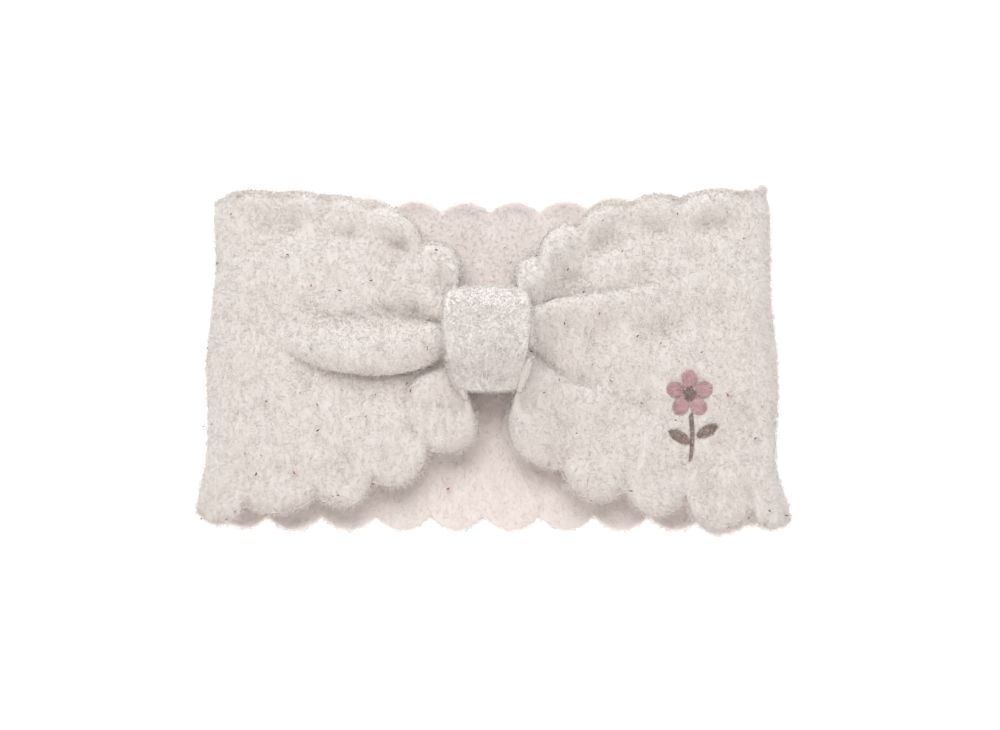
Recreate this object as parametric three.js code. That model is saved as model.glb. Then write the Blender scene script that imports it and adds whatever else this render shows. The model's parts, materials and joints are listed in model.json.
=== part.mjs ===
// A spa headband: a wide loop of brushed knit with scalloped edges, lying flat. The front
// panel is gathered at its middle by a knot loop and carries a small embroidered flower.
//
// Millimetres. +X runs across the flat loop, +Y from its lower to its upper scalloped edge,
// and +Z up from the surface that it lies on. The origin is on that surface, under the middle
// of the back panel.
import * as THREE from 'three';

// The flat loop.
const HALF_WIDTH = 118; // middle of the loop to the outside of a side turn, at mid height
const SIDE_FLARE = 4; // how far the side turns lean out at the lower edge, and in at the upper
const UPPER_EDGE = 70; // to the scallop crests of the upper edge
const LOWER_EDGE = -71; // to the scallop crests of the lower edge
const KNIT_THICKNESS = 4.5; // knit and its pile
const LOOP_GAP = 6.5; // clear height between the back panel and the front panel
const SCALLOP_PITCH = 21.4;
const SCALLOP_DEPTH = 6;
const TURN_END_INSET = 3; // the side turns stop this far inside the scallop crests

// The knot loop, and the gathered knit inside it.
const KNOT_X = -3;
const KNOT_Y = 7.5;
const KNOT_LENGTH = 43; // along Y
const KNOT_HEIGHT = 21; // along Z
const KNOT_WALL = 2.6;
const KNOT_HALF_WIDTH_UPPER = 16.5; // half its width along X at the upper end
const KNOT_HALF_WIDTH_LOWER = 12.5; // and at the lower end
const KNOT_UNDERSIDE = 10.4; // above the surface, which leaves room for a finger under the knot
const KNOT_ROUNDNESS = 2.6; // 2 is an ellipse, more is squarer
const GATHER_HALF_LENGTH = 14; // half the length of knit held inside the knot, along X
const PLEATS = 12; // pleats around the gathered knit
const PLEAT_DEPTH = 0.5;
const WING_END_SLACK_Y = 3.9; // between the knot's inner wall and the wing where it enters
const WING_END_SLACK_Z = 1.6;
const RIDGES = 3; // soft folds that fan out from the knot over a wing
const RIDGE_HEIGHT = 1.6;
const FAN_START = 0.55; // where the folds begin, as a share of the wing's length from the side
const MOUTH_TOP_INSET = 2.5; // edges leave the knot this far below its upper end
const MOUTH_FOOT_DROP = 1.5; // and this far below its lower end
const ROOT_BOW = 9; // how far the knit beside the knot bows away from it

// Threads and trim.
const CLEARANCE = 0.3; // between pieces that touch
const THREAD_RADIUS = 0.4;
const GATHER_TURNS = 3;
const LABEL_WIDTH = 16;
const LABEL_HEIGHT = 22;
const LABEL_THICKNESS = 0.4;
const SEAM_INSET = 3; // seam to the end of the back panel
const SEAM_STITCH = 3.5;
const SEAM_HALF_WIDTH = 1.6;

// The embroidered flower on the right wing.
const FLOWER_X = 80.5;
const FLOWER_Y = -15;
const THREAD_LAYER = 0.8; // height of the satin stitches
const PETALS = 5;
const PETAL_LENGTH = 7.2;
const PETAL_WIDTH = 6.4;
const FLOWER_CENTRE_RADIUS = 2.3;
const STEM_LENGTH = 17;
const STEM_WIDTH = 1.5;
const LEAF_LENGTH = 10;
const LEAF_WIDTH = 4.6;
const LEAF_DROP = 8; // leaves leave the stem this far below its top
const LEAF_RISE = 0.55; // angle of a leaf above the horizontal, in radians
const BACKING_MARGIN = 4;
const BACKING_THICKNESS = 0.5;

// Heights that follow from them.
const turnRadius = (2 * KNIT_THICKNESS + LOOP_GAP) / 2;
const frontUnderside = KNIT_THICKNESS + LOOP_GAP;
const frontTop = frontUnderside + KNIT_THICKNESS;
const knotZ = KNOT_UNDERSIDE + KNOT_HEIGHT / 2;
const wingEndHalfHeight = KNOT_LENGTH / 2 - KNOT_WALL - WING_END_SLACK_Y;
const wingEndHalfThickness = KNOT_HEIGHT / 2 - KNOT_WALL - WING_END_SLACK_Z;
const knotMouth = KNOT_HALF_WIDTH_UPPER - GATHER_HALF_LENGTH; // wing's length inside the knot
const sideLean = SIDE_FLARE / ((UPPER_EDGE - LOWER_EDGE) / 2);
const flatHalfWidth = (y) => HALF_WIDTH - turnRadius - sideLean * y;

const { lerp, smoothstep, clamp } = THREE.MathUtils;

// How far a scalloped edge dips in from its crests, where phase 0 and 1 are two crests.
function scallopDip(phase) {
  return SCALLOP_DEPTH * (1 - Math.abs(Math.cos(Math.PI * phase)));
}

// A closed thick sheet between two surfaces, each a function of (u, v) that gives a point.
// With wrap, u runs right round and joins itself.
function thickSheet(columns, rows, outer, inner, wrap = false) {
  const around = wrap ? columns : columns + 1;
  const positions = [];
  for (const surface of [outer, inner]) {
    for (let i = 0; i < around; i++) {
      for (let j = 0; j <= rows; j++) positions.push(...surface(i / columns, j / rows));
    }
  }
  const at = (side, i, j) => (side * around + (i % around)) * (rows + 1) + j;
  const index = [];
  const quad = (a, b, c, d) => index.push(a, b, c, a, c, d);
  for (let i = 0; i < columns; i++) {
    for (let j = 0; j < rows; j++) {
      quad(at(0, i, j), at(0, i + 1, j), at(0, i + 1, j + 1), at(0, i, j + 1));
      quad(at(1, i, j), at(1, i, j + 1), at(1, i + 1, j + 1), at(1, i + 1, j));
    }
    quad(at(1, i, 0), at(1, i + 1, 0), at(0, i + 1, 0), at(0, i, 0));
    quad(at(0, i, rows), at(0, i + 1, rows), at(1, i + 1, rows), at(1, i, rows));
  }
  for (let j = 0; j < rows && !wrap; j++) {
    quad(at(0, 0, j), at(0, 0, j + 1), at(1, 0, j + 1), at(1, 0, j));
    quad(at(1, columns, j), at(1, columns, j + 1), at(0, columns, j + 1), at(0, columns, j));
  }
  const geometry = new THREE.BufferGeometry();
  geometry.setAttribute('position', new THREE.Float32BufferAttribute(positions, 3));
  geometry.setIndex(enclosedVolume(positions, index) < 0 ? index.reverse() : index);
  geometry.computeVertexNormals();
  return geometry;
}

// Positive where the triangles' faces point out.
function enclosedVolume(positions, index) {
  const corner = (k) => new THREE.Vector3().fromArray(positions, 3 * index[k]);
  let volume = 0;
  for (let k = 0; k < index.length; k += 3) {
    volume += corner(k).dot(corner(k + 1).cross(corner(k + 2))) / 6;
  }
  return volume;
}

// A six-sided thread along a smooth path through the points.
function thread(points, steps) {
  const section = new THREE.Shape();
  section.absarc(0, 0, THREAD_RADIUS, 0, 2 * Math.PI);
  const path = new THREE.CatmullRomCurve3(points);
  const options = { steps, curveSegments: 3, bevelEnabled: false, extrudePath: path };
  return new THREE.ExtrudeGeometry(section, options);
}

// A flat piece of embroidery, lying on the front panel.
function satinPatch(shape, segments) {
  const options = { depth: THREAD_LAYER, curveSegments: segments, bevelEnabled: false };
  return new THREE.ExtrudeGeometry(shape, options).translate(0, 0, frontTop + CLEARANCE);
}

function fabric(color, roughness = 0.95) {
  return new THREE.MeshStandardMaterial({ color, roughness, metalness: 0 });
}

const knit = fabric(0xe4dbd6);
const jersey = fabric(0xe6deda, 0.9);
const sewing = fabric(0xcfc2bb, 0.7);
const roseThread = fabric(0xc98f92, 0.5);
const taupeThread = fabric(0x9a7f74, 0.5);
const satinRibbon = fabric(0xf3f0ec, 0.5);

const headband = new THREE.Group();

function add(name, geometry, material) {
  const mesh = new THREE.Mesh(geometry, material);
  mesh.name = name;
  headband.add(mesh);
  return mesh;
}

// The back panel lies flat, with both edges scalloped.
function backPanel() {
  const lobes = Math.round((2 * (HALF_WIDTH - turnRadius)) / SCALLOP_PITCH);
  const face = (height) => (u, v) => {
    const dip = scallopDip(u * lobes);
    const y = lerp(LOWER_EDGE + dip, UPPER_EDGE - dip, v);
    return [(2 * u - 1) * (flatHalfWidth(y) - CLEARANCE / 2), y, height];
  };
  return thickSheet(lobes * 8, 2, face(KNIT_THICKNESS), face(0));
}

// A side turn joins the back panel to a wing round a half circle.
function sideTurn(side) {
  const wall = (radius) => (u, v) => {
    const y = lerp(LOWER_EDGE + TURN_END_INSET, UPPER_EDGE - TURN_END_INSET, v);
    const angle = (u - 0.5) * Math.PI;
    const out = CLEARANCE / 2 + radius * Math.cos(angle);
    return [side * (flatHalfWidth(y) + out), y, turnRadius + radius * Math.sin(angle)];
  };
  return thickSheet(12, 6, wall(turnRadius), wall(turnRadius - KNIT_THICKNESS));
}

// A scalloped edge through its valleys, from the side turn to the knot. Between two valleys
// the knit bulges out by that lobe's own depth. It gives a point for each share of its length.
function scallopedEdge(valleys, bulges, outward) {
  const spans = bulges.map((_, k) => valleys[k].distanceTo(valleys[k + 1]));
  const total = spans.reduce((sum, span) => sum + span, 0);
  return (share) => {
    let along = share * total;
    let k = 0;
    while (k < spans.length - 1 && along > spans[k]) along -= spans[k++];
    const part = along / spans[k];
    const across = valleys[k + 1].clone().sub(valleys[k]).normalize();
    const out = new THREE.Vector2(-across.y, across.x).multiplyScalar(outward);
    const bulge = bulges[k] * Math.sin(Math.PI * clamp(part, 0, 1)) ** 0.8;
    return valleys[k].clone().lerp(valleys[k + 1], part).addScaledVector(out, bulge);
  };
}

// Both edges of a wing. The valleys next to the side turn are counted from it and the others
// from the knot, so that the wing still meets both when either moves.
function wingEdges(side) {
  const atTurn = (y) => new THREE.Vector2(side * (flatHalfWidth(y) - CLEARANCE / 2), y);
  const fromKnot = ([out, up]) =>
    new THREE.Vector2(KNOT_X + side * (GATHER_HALF_LENGTH + out), KNOT_Y + up);
  const fromCorner = ([inward, y]) => new THREE.Vector2(side * (flatHalfWidth(y) - inward), y);
  const mouthTop = KNOT_LENGTH / 2 - MOUTH_TOP_INSET;
  const mouthFoot = -KNOT_LENGTH / 2 - MOUTH_FOOT_DROP;
  const upper = [atTurn(UPPER_EDGE - 3)];
  const lower = [atTurn(LOWER_EDGE + 5)];
  if (side < 0) {
    upper.push(...[[17, UPPER_EDGE - 3], [37, UPPER_EDGE - 3]].map(fromCorner));
    upper.push(...[[36, 56], [14, 39.5], [3.4, mouthTop]].map(fromKnot));
    lower.push(fromCorner([9, LOWER_EDGE + 13.4]), fromCorner([35, LOWER_EDGE + 14.2]));
    lower.push(...[[34, -58], [11.3, -46], [1.8, mouthFoot]].map(fromKnot));
  } else {
    upper.push(...[[4, UPPER_EDGE - 1], [26, UPPER_EDGE - 3]].map(fromCorner));
    upper.push(...[[45.5, 56.8], [24.3, 48], [8.3, 35.4], [4.4, mouthTop]].map(fromKnot));
    lower.push(fromCorner([4, LOWER_EDGE + 8]), fromCorner([34, LOWER_EDGE + 13]));
    lower.push(...[[43.7, -61.8], [18, -53.5], [2.6, mouthFoot]].map(fromKnot));
  }
  upper.push(fromKnot([CLEARANCE, wingEndHalfHeight]));
  lower.push(fromKnot([CLEARANCE, -wingEndHalfHeight]));
  const upperBulges = side < 0 ? [2, 2.5, 3, 5.5, 6, 0] : [1, 2.5, 2.5, 3, 4.5, 5, 0];
  const lowerBulges = side < 0 ? [2, 6.5, 9, 7.5, 12, 0] : [2, 9, 8.5, 8.5, 10, 0];
  return {
    lower: scallopedEdge(lower, lowerBulges, side),
    upper: scallopedEdge(upper, upperBulges, -side),
  };
}

// A wing is one layer of knit at the side, and thickens into folds where it enters the knot.
// Its cross lines bow away from the knot, because the last lobes reach round the knot's ends.
function wing(side) {
  const { lower, upper } = wingEdges(side);
  const face = (sign) => (u, v) => {
    const low = lower(u);
    const high = upper(u);
    const bow = side * ROOT_BOW * smoothstep(u, FAN_START, 0.9) * smoothstep(1 - u, 0, 0.08);
    const weights = [(1 - v) ** 2, 2 * v * (1 - v), v ** 2];
    const x = weights[0] * low.x + weights[1] * ((low.x + high.x) / 2 + bow) + weights[2] * high.x;
    const y = lerp(low.y, high.y, v);
    const fan = smoothstep(u, FAN_START, 1) ** 2;
    const arch = Math.sqrt(clamp(1 - (2 * v - 1) ** 2, 0, 1));
    const middle = lerp((frontUnderside + frontTop) / 2, knotZ, fan);
    const half = KNIT_THICKNESS / 2 + (wingEndHalfThickness - KNIT_THICKNESS / 2) * fan * arch;
    const ridge = 4 * fan * (1 - fan) * RIDGE_HEIGHT * Math.cos(2 * Math.PI * RIDGES * v);
    return [x, y, middle + sign * half + (sign > 0 ? ridge : 0)];
  };
  return thickSheet(46, 14, face(1), face(-1));
}

// A point on a rounded box in the YZ plane, centred on the knot.
function aroundKnot(turn, halfLength, halfHeight) {
  const angle = 2 * Math.PI * turn;
  const bend = (value) => Math.sign(value) * Math.abs(value) ** (2 / KNOT_ROUNDNESS);
  return [KNOT_Y + halfLength * bend(Math.cos(angle)), knotZ + halfHeight * bend(Math.sin(angle))];
}

// The knot loop is a short tube of knit round the gathers, wider at its upper end.
function knotLoop() {
  const wall = (inset) => (u, v) => {
    const [y, z] = aroundKnot(u, KNOT_LENGTH / 2 - inset, KNOT_HEIGHT / 2 - inset);
    const upward = clamp((y - KNOT_Y) / KNOT_LENGTH + 0.5, 0, 1);
    const halfWidth = lerp(KNOT_HALF_WIDTH_LOWER, KNOT_HALF_WIDTH_UPPER, upward);
    return [KNOT_X + (2 * v - 1) * halfWidth, y, z];
  };
  return thickSheet(32, 4, wall(0), wall(KNOT_WALL), true);
}

// The gathered knit inside the knot, as one pleated core.
function frontGather() {
  const slack = KNOT_WALL + 2 * CLEARANCE + 2 * THREAD_RADIUS + 2 * PLEAT_DEPTH;
  const core = new THREE.Shape();
  const steps = PLEATS * 4;
  for (let k = 0; k < steps; k++) {
    const pleat = PLEAT_DEPTH * Math.cos((2 * Math.PI * k * PLEATS) / steps);
    const halfLength = KNOT_LENGTH / 2 - slack + pleat;
    const [y, z] = aroundKnot(k / steps, halfLength, KNOT_HEIGHT / 2 - slack + pleat);
    if (k === 0) core.moveTo(y, z);
    else core.lineTo(y, z);
  }
  core.closePath();
  const length = 2 * (GATHER_HALF_LENGTH - CLEARANCE / 2);
  const geometry = new THREE.ExtrudeGeometry(core, { depth: length, bevelEnabled: false });
  const turned = new THREE.Matrix4().makeBasis(
    new THREE.Vector3(0, 1, 0),
    new THREE.Vector3(0, 0, 1),
    new THREE.Vector3(1, 0, 0),
  );
  return geometry.applyMatrix4(turned).translate(KNOT_X - length / 2, 0, 0);
}

// The thread that holds the gathers, wound round them under the knot loop.
function gatherThread() {
  const inset = KNOT_WALL + CLEARANCE + THREAD_RADIUS;
  const steps = GATHER_TURNS * 32;
  const pitch = 4 * THREAD_RADIUS;
  const points = [];
  for (let k = 0; k <= steps; k++) {
    const turn = k / 32;
    const [y, z] = aroundKnot(turn, KNOT_LENGTH / 2 - inset, KNOT_HEIGHT / 2 - inset);
    points.push(new THREE.Vector3(KNOT_X + (turn - GATHER_TURNS / 2) * pitch, y, z));
  }
  return thread(points, steps);
}

// A zigzag thread in a level plane, from one point to another.
function zigzag(from, to, stitch, halfWidth) {
  const along = new THREE.Vector3().subVectors(to, from);
  const across = new THREE.Vector3(-along.y, along.x, 0).normalize();
  const stitches = Math.round(along.length() / stitch);
  const points = [];
  for (let k = 0; k <= stitches; k++) {
    const swing = k % 2 ? halfWidth : -halfWidth;
    points.push(from.clone().addScaledVector(along, k / stitches).addScaledVector(across, swing));
  }
  return thread(points, stitches * 3);
}

// The knot loop's own seam runs along its underside.
function knotSeamStitches() {
  const z = KNOT_UNDERSIDE - CLEARANCE - THREAD_RADIUS;
  const half = KNOT_HALF_WIDTH_LOWER - 2;
  const start = new THREE.Vector3(KNOT_X - half, KNOT_Y, z);
  const end = new THREE.Vector3(KNOT_X + half, KNOT_Y, z);
  return zigzag(start, end, SEAM_STITCH / 1.4, SEAM_HALF_WIDTH);
}

// The strip's two ends are joined by one seam, beside the right side turn.
const onBackPanel = KNIT_THICKNESS + CLEARANCE + THREAD_RADIUS;
const seamX = (y) => flatHalfWidth(y) - SEAM_INSET;

function sideSeamStitches() {
  const low = LOWER_EDGE + SCALLOP_DEPTH + TURN_END_INSET;
  const high = UPPER_EDGE - SCALLOP_DEPTH - TURN_END_INSET;
  const start = new THREE.Vector3(seamX(low), low, onBackPanel);
  const end = new THREE.Vector3(seamX(high), high, onBackPanel);
  return zigzag(start, end, SEAM_STITCH, SEAM_HALF_WIDTH);
}

// A blank label beside that seam, on the inner face of the back panel.
const labelRight = seamX(LABEL_HEIGHT / 2) - SEAM_HALF_WIDTH - THREAD_RADIUS - CLEARANCE;

function careLabel() {
  const label = new THREE.BoxGeometry(LABEL_WIDTH, LABEL_HEIGHT, LABEL_THICKNESS);
  const z = KNIT_THICKNESS + CLEARANCE + LABEL_THICKNESS / 2;
  return label.translate(labelRight - LABEL_WIDTH / 2, 0, z);
}

function labelStitches() {
  const z = KNIT_THICKNESS + LABEL_THICKNESS + 2 * CLEARANCE + THREAD_RADIUS;
  const x = labelRight - 1.5;
  const half = LABEL_HEIGHT / 2 - 1;
  return zigzag(new THREE.Vector3(x, -half, z), new THREE.Vector3(x, half, z), 2, 0.5);
}

function petal(k) {
  const angle = Math.PI / 2 + (k * 2 * Math.PI) / PETALS;
  const out = FLOWER_CENTRE_RADIUS + CLEARANCE + PETAL_LENGTH / 2;
  const shape = new THREE.Shape();
  const x = FLOWER_X + out * Math.cos(angle);
  const y = FLOWER_Y + out * Math.sin(angle);
  shape.absellipse(x, y, PETAL_LENGTH / 2, PETAL_WIDTH / 2, 0, 2 * Math.PI, false, angle);
  return satinPatch(shape, 9);
}

function flowerCentre() {
  const shape = new THREE.Shape();
  shape.absarc(FLOWER_X, FLOWER_Y, FLOWER_CENTRE_RADIUS, 0, 2 * Math.PI);
  return satinPatch(shape, 8);
}

// The stem starts between the two lower petals and bows a little to the right.
const stemTop = FLOWER_Y - FLOWER_CENTRE_RADIUS - PETAL_LENGTH - CLEARANCE;
const stemBow = 1.6;
const stemShift = (drop) => stemBow * Math.sin((Math.PI * drop) / STEM_LENGTH);

function stem() {
  const steps = 8;
  const edge = (side) => (k) => {
    const drop = (k * STEM_LENGTH) / steps;
    return [FLOWER_X + stemShift(drop) + (side * STEM_WIDTH) / 2, stemTop - drop];
  };
  const places = [...Array(steps + 1).keys()];
  const outline = [...places.map(edge(1)), ...places.reverse().map(edge(-1))];
  return satinPatch(new THREE.Shape(outline.map(([x, y]) => new THREE.Vector2(x, y))), 1);
}

function leaf(side) {
  const steps = 7;
  const tilt = side > 0 ? LEAF_RISE : Math.PI - LEAF_RISE;
  const drop = LEAF_DROP + (side > 0 ? 0 : 2.5);
  const rootX = FLOWER_X + stemShift(drop) + side * (STEM_WIDTH / 2 + 2 * CLEARANCE);
  const outline = [];
  for (const flank of [-1, 1]) {
    for (let k = 0; k < steps; k++) {
      const along = flank < 0 ? k / steps : 1 - k / steps;
      const across = (flank * LEAF_WIDTH * Math.sin(Math.PI * along)) / 2;
      const x = along * LEAF_LENGTH * Math.cos(tilt) - across * Math.sin(tilt);
      const y = along * LEAF_LENGTH * Math.sin(tilt) + across * Math.cos(tilt);
      outline.push(new THREE.Vector2(rootX + x, stemTop - drop + y));
    }
  }
  return satinPatch(new THREE.Shape(outline), 1);
}

// A thin patch behind the flower, on the inner face of the front panel.
function motifBacking() {
  const half = FLOWER_CENTRE_RADIUS + PETAL_LENGTH + BACKING_MARGIN;
  const top = FLOWER_Y + half;
  const bottom = stemTop - STEM_LENGTH - BACKING_MARGIN;
  const patch = new THREE.BoxGeometry(2 * half, top - bottom, BACKING_THICKNESS);
  const z = frontUnderside - CLEARANCE - BACKING_THICKNESS / 2;
  return patch.translate(FLOWER_X, (top + bottom) / 2, z);
}

add('back_panel', backPanel(), knit);
add('side_turn_left', sideTurn(-1), knit);
add('side_turn_right', sideTurn(1), knit);
add('front_wing_left', wing(-1), knit);
add('front_wing_right', wing(1), knit);
add('front_gather', frontGather(), knit);
add('knot_loop', knotLoop(), jersey);
add('gather_thread', gatherThread(), sewing);
add('knot_seam_stitches', knotSeamStitches(), sewing);
add('side_seam_stitches', sideSeamStitches(), sewing);
add('care_label', careLabel(), satinRibbon);
add('label_stitches', labelStitches(), sewing);
for (let k = 0; k < PETALS; k++) add(`petal_${k + 1}`, petal(k), roseThread);
add('flower_centre', flowerCentre(), taupeThread);
add('stem', stem(), taupeThread);
add('leaf_left', leaf(-1), taupeThread);
add('leaf_right', leaf(1), taupeThread);
add('motif_backing', motifBacking(), satinRibbon);

export default headband;
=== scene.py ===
"""A gathered, brushed-knit spa headband, built round its fixed frame.

Shapes are worked out in millimetres and turned into metres when a mesh is made. +X runs across
the flat loop, +Y from the lower to the upper scalloped edge, and +Z up from the table.
"""

import json
import math

import bpy
import numpy as np
from bpy.props import FloatProperty, FloatVectorProperty, PointerProperty
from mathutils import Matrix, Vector
from mathutils.bvhtree import BVHTree

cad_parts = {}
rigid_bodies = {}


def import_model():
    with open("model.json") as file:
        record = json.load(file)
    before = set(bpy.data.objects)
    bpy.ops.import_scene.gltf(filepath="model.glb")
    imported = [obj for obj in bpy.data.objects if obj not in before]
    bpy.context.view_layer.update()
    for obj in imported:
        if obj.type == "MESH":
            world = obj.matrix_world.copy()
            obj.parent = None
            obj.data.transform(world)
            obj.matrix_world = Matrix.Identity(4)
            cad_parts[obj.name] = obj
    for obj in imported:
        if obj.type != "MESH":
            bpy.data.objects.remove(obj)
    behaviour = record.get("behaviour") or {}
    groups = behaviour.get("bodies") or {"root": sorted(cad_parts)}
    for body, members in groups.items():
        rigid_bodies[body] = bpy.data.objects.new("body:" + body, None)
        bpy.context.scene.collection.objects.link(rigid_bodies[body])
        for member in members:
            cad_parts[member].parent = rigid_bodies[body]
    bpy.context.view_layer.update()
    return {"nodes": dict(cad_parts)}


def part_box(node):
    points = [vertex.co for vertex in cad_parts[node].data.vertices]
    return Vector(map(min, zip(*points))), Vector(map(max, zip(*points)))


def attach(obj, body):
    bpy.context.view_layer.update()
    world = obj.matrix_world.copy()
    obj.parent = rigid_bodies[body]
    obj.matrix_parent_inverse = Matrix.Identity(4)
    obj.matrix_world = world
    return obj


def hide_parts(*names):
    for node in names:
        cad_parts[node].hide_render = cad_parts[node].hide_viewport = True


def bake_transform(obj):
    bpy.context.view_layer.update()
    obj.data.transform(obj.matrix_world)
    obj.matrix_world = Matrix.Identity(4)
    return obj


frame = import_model()

bl_info = {
    "name": "Spa headband",
    "version": (1, 0, 0),
    "blender": (4, 5, 0),
    "location": "View3D > Sidebar > Headband",
    "description": "Builds a gathered, brushed-knit spa headband round its fixed frame",
    "category": "Object",
}

MM = 0.001


# ---------------------------------------------------------------- places from the frame

def node_box(name):
    """The lowest and highest corner of a frame node, in millimetres."""
    low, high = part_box(name)
    return np.array(low) / MM, np.array(high) / MM


KNOT_LOW, KNOT_HIGH = node_box("knot_loop")
KNOT_MIDDLE = (KNOT_LOW + KNOT_HIGH) / 2
KNOT_SIZE = KNOT_HIGH - KNOT_LOW
GATHER_LOW, GATHER_HIGH = node_box("front_gather")
TURN_LOW, TURN_HIGH = node_box("side_turn_right")
KNIT_DEPTH = node_box("back_panel")[1][2]  # knit and pile together
BACK_Z = KNIT_DEPTH / 2  # middle of the back panel's knit
FRONT_Z = TURN_HIGH[2] - KNIT_DEPTH / 2  # middle of a wing's knit, away from the knot
TURN_RADIUS = (FRONT_Z - BACK_Z) / 2
TURN_LEAN = (TURN_HIGH[0] - TURN_HIGH[2] / 2 - TURN_LOW[0]) / (TURN_HIGH[1] - TURN_LOW[1])
MOUTH = (GATHER_HIGH[0] - GATHER_LOW[0]) / 2  # the wings enter the knot this far from its middle


def flat_half_width(y):
    """Where the side turns begin, counted from the middle of the loop."""
    return TURN_LOW[0] + TURN_LEAN * (TURN_HIGH[1] - y)


# ---------------------------------------------------------------- curves and folds

def smooth(value, start, end):
    """0 before start, 1 after end, and a smooth rise between."""
    t = np.clip((value - start) / (end - start), 0, 1)
    return t * t * (3 - 2 * t)


def mix(a, b, t):
    """From a at 0 to b at 1."""
    return a + (b - a) * t


CHUNK = 4000  # places compared with a path at a time


def smooth_path(points, steps=70):
    """A Catmull-Rom curve through the points, as many short steps."""
    p = np.array(points, float)
    p = np.vstack([2 * p[0] - p[1], p, 2 * p[-1] - p[-2]])
    spans = len(p) - 3
    t = np.linspace(0, spans, steps)
    k = np.minimum(t.astype(int), spans - 1)
    f = (t - k)[:, None]
    a, b, c, d = p[k], p[k + 1], p[k + 2], p[k + 3]
    return 0.5 * (2 * b + (c - a) * f + (2 * a - 5 * b + 4 * c - d) * f**2
                  + (3 * b - a - 3 * c + d) * f**3)


def beside_path(x, y, points):
    """For each place: its distance from a path, positive on the path's left, how far along it is
    from 0 to 1, and the path's left-hand direction there."""
    path = smooth_path(points)
    tangent = np.gradient(path, axis=0)
    tangent /= np.linalg.norm(tangent, axis=1)[:, None]
    left = np.stack([-tangent[:, 1], tangent[:, 0]], 1)
    place = np.stack([x.ravel(), y.ravel()], 1)
    nearest = np.empty(len(place), int)
    for start in range(0, len(place), CHUNK):
        part = place[start:start + CHUNK]
        gap = ((part[:, None] - path[None]) ** 2).sum(2)
        nearest[start:start + CHUNK] = gap.argmin(1)
    offset = place - path[nearest]
    side = (offset * left[nearest]).sum(1)
    distance = np.linalg.norm(offset, axis=1) * np.where(side < 0, -1, 1)
    share = nearest / (len(path) - 1)
    return distance.reshape(x.shape), share.reshape(x.shape), left[nearest].reshape(x.shape + (2,))


def overlap_fold(x, y, path, heights, rise, spread, overhang=0.0, groove=0.0):
    """Knit that folds over its neighbour. It rises steeply along the path's left and falls away
    gently beyond. Heights are given from the start of the path to its end. It returns the height,
    and the sideways shift that makes the steep side overhang."""
    distance, share, left = beside_path(x, y, path)
    places = np.linspace(0, 1, len(heights))
    height = np.interp(share, places, heights)
    width = rise * (0.45 + 0.55 * height / max(heights))
    steep = np.sqrt(np.clip(1 - (1 - np.clip(distance / width, 0, 1)) ** 2, 0, 1))
    gentle = np.cos(np.clip((distance - width) / spread, 0, 1) * math.pi / 2) ** 2
    profile = np.where(distance < width, steep, gentle)
    dip = groove * np.exp(-(np.minimum(distance, 0) / 2.2) ** 2) * (distance < 0.6)
    lift = height * profile - dip * height / max(heights)
    lip = np.exp(-((distance - 0.35 * width) / (0.6 * width)) ** 2) * height / max(heights)
    return lift, -left * (overhang * lip)[..., None]


def crease(x, y, path, depths, width):
    """A soft groove along a path."""
    distance, share, _ = beside_path(x, y, path)
    depth = np.interp(share, np.linspace(0, 1, len(depths)), depths)
    return -depth * np.exp(-(distance / width) ** 2)


def dome(x, y, centre, radii, height, turn=0.0):
    """A soft round swelling."""
    c, s = math.cos(turn), math.sin(turn)
    dx, dy = x - centre[0], y - centre[1]
    a, b = (c * dx + s * dy) / radii[0], (-s * dx + c * dy) / radii[1]
    return height * np.exp(-(a * a + b * b))


def unevenness(x, y, seed, scale, height):
    """Soft, irregular swells about scale millimetres across."""
    random = np.random.default_rng(seed)
    total = np.zeros_like(x)
    for _ in range(7):
        angle = random.uniform(0, math.pi)
        wave = 2 * math.pi / (scale * random.uniform(0.7, 1.6))
        phase = random.uniform(0, 2 * math.pi)
        total += np.sin(wave * (x * math.cos(angle) + y * math.sin(angle)) + phase)
    return height * total / 2.6


def scalloped_edge(valleys, bulges, outward):
    """An edge through its valleys, which bulges out between each two by that lobe's own depth.
    It gives, for shares of its length, the points, how far each is from a valley, and how far
    into a lobe it is from 0 to 1."""
    valleys = np.array(valleys, float)
    bulges = np.array(bulges, float)
    steps = np.diff(valleys, axis=0)
    spans = np.linalg.norm(steps, axis=1)
    ends = np.concatenate([[0], np.cumsum(spans)]) / spans.sum()

    def edge(share):
        k = np.clip(np.searchsorted(ends, share, side="right") - 1, 0, len(spans) - 1)
        part = np.clip((share - ends[k]) / (ends[k + 1] - ends[k]), 0, 1)
        along = steps[k] / spans[k][:, None]
        out = np.stack([-along[:, 1], along[:, 0]], 1) * outward
        lobe = np.sin(math.pi * part)
        bulge = bulges[k] * lobe**LOBE_ROUNDNESS
        points = valleys[k] + steps[k] * part[:, None] + out * bulge[:, None]
        return points, np.minimum(part, 1 - part) * spans[k], lobe

    return edge


# ---------------------------------------------------------------- the band of knit

KNIT_HALF = 1.1  # half the knit's own thickness, without its pile
RIM_ROWS = (0.0, 0.25, 0.7, 1.3)  # rows that round the scalloped rims, in millimetres
STRIP_WIDTH = 136.0  # from rim to rim when flat
ROWS = 92  # grid points across the strip, and along each of its parts
WING_COLUMNS = 88
GATHER_COLUMNS = 10
TURN_COLUMNS = 16
BACK_COLUMNS = 136

# the strip's two edges at the ends of the side turns
LEFT_LOW, LEFT_HIGH = -69.0, 69.0
RIGHT_LOW, RIGHT_HIGH = -71.2, 69.2

# the back panel's scallops: pitch, one of the valleys, the valleys' level, and depth
LOWER_PITCH, LOWER_VALLEY, LOWER_LEVEL, LOWER_DEPTH = 21.9, -3.9, -65.6, 6.3
UPPER_PITCH, UPPER_VALLEY, UPPER_LEVEL, UPPER_DEPTH = 20.9, -1.9, 60.2, 4.8
BACK_LOBE_ROUNDNESS = 0.75  # 1 is a sine, and less is fuller
LOBE_ROUNDNESS = 0.66  # the same for the wings

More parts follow.
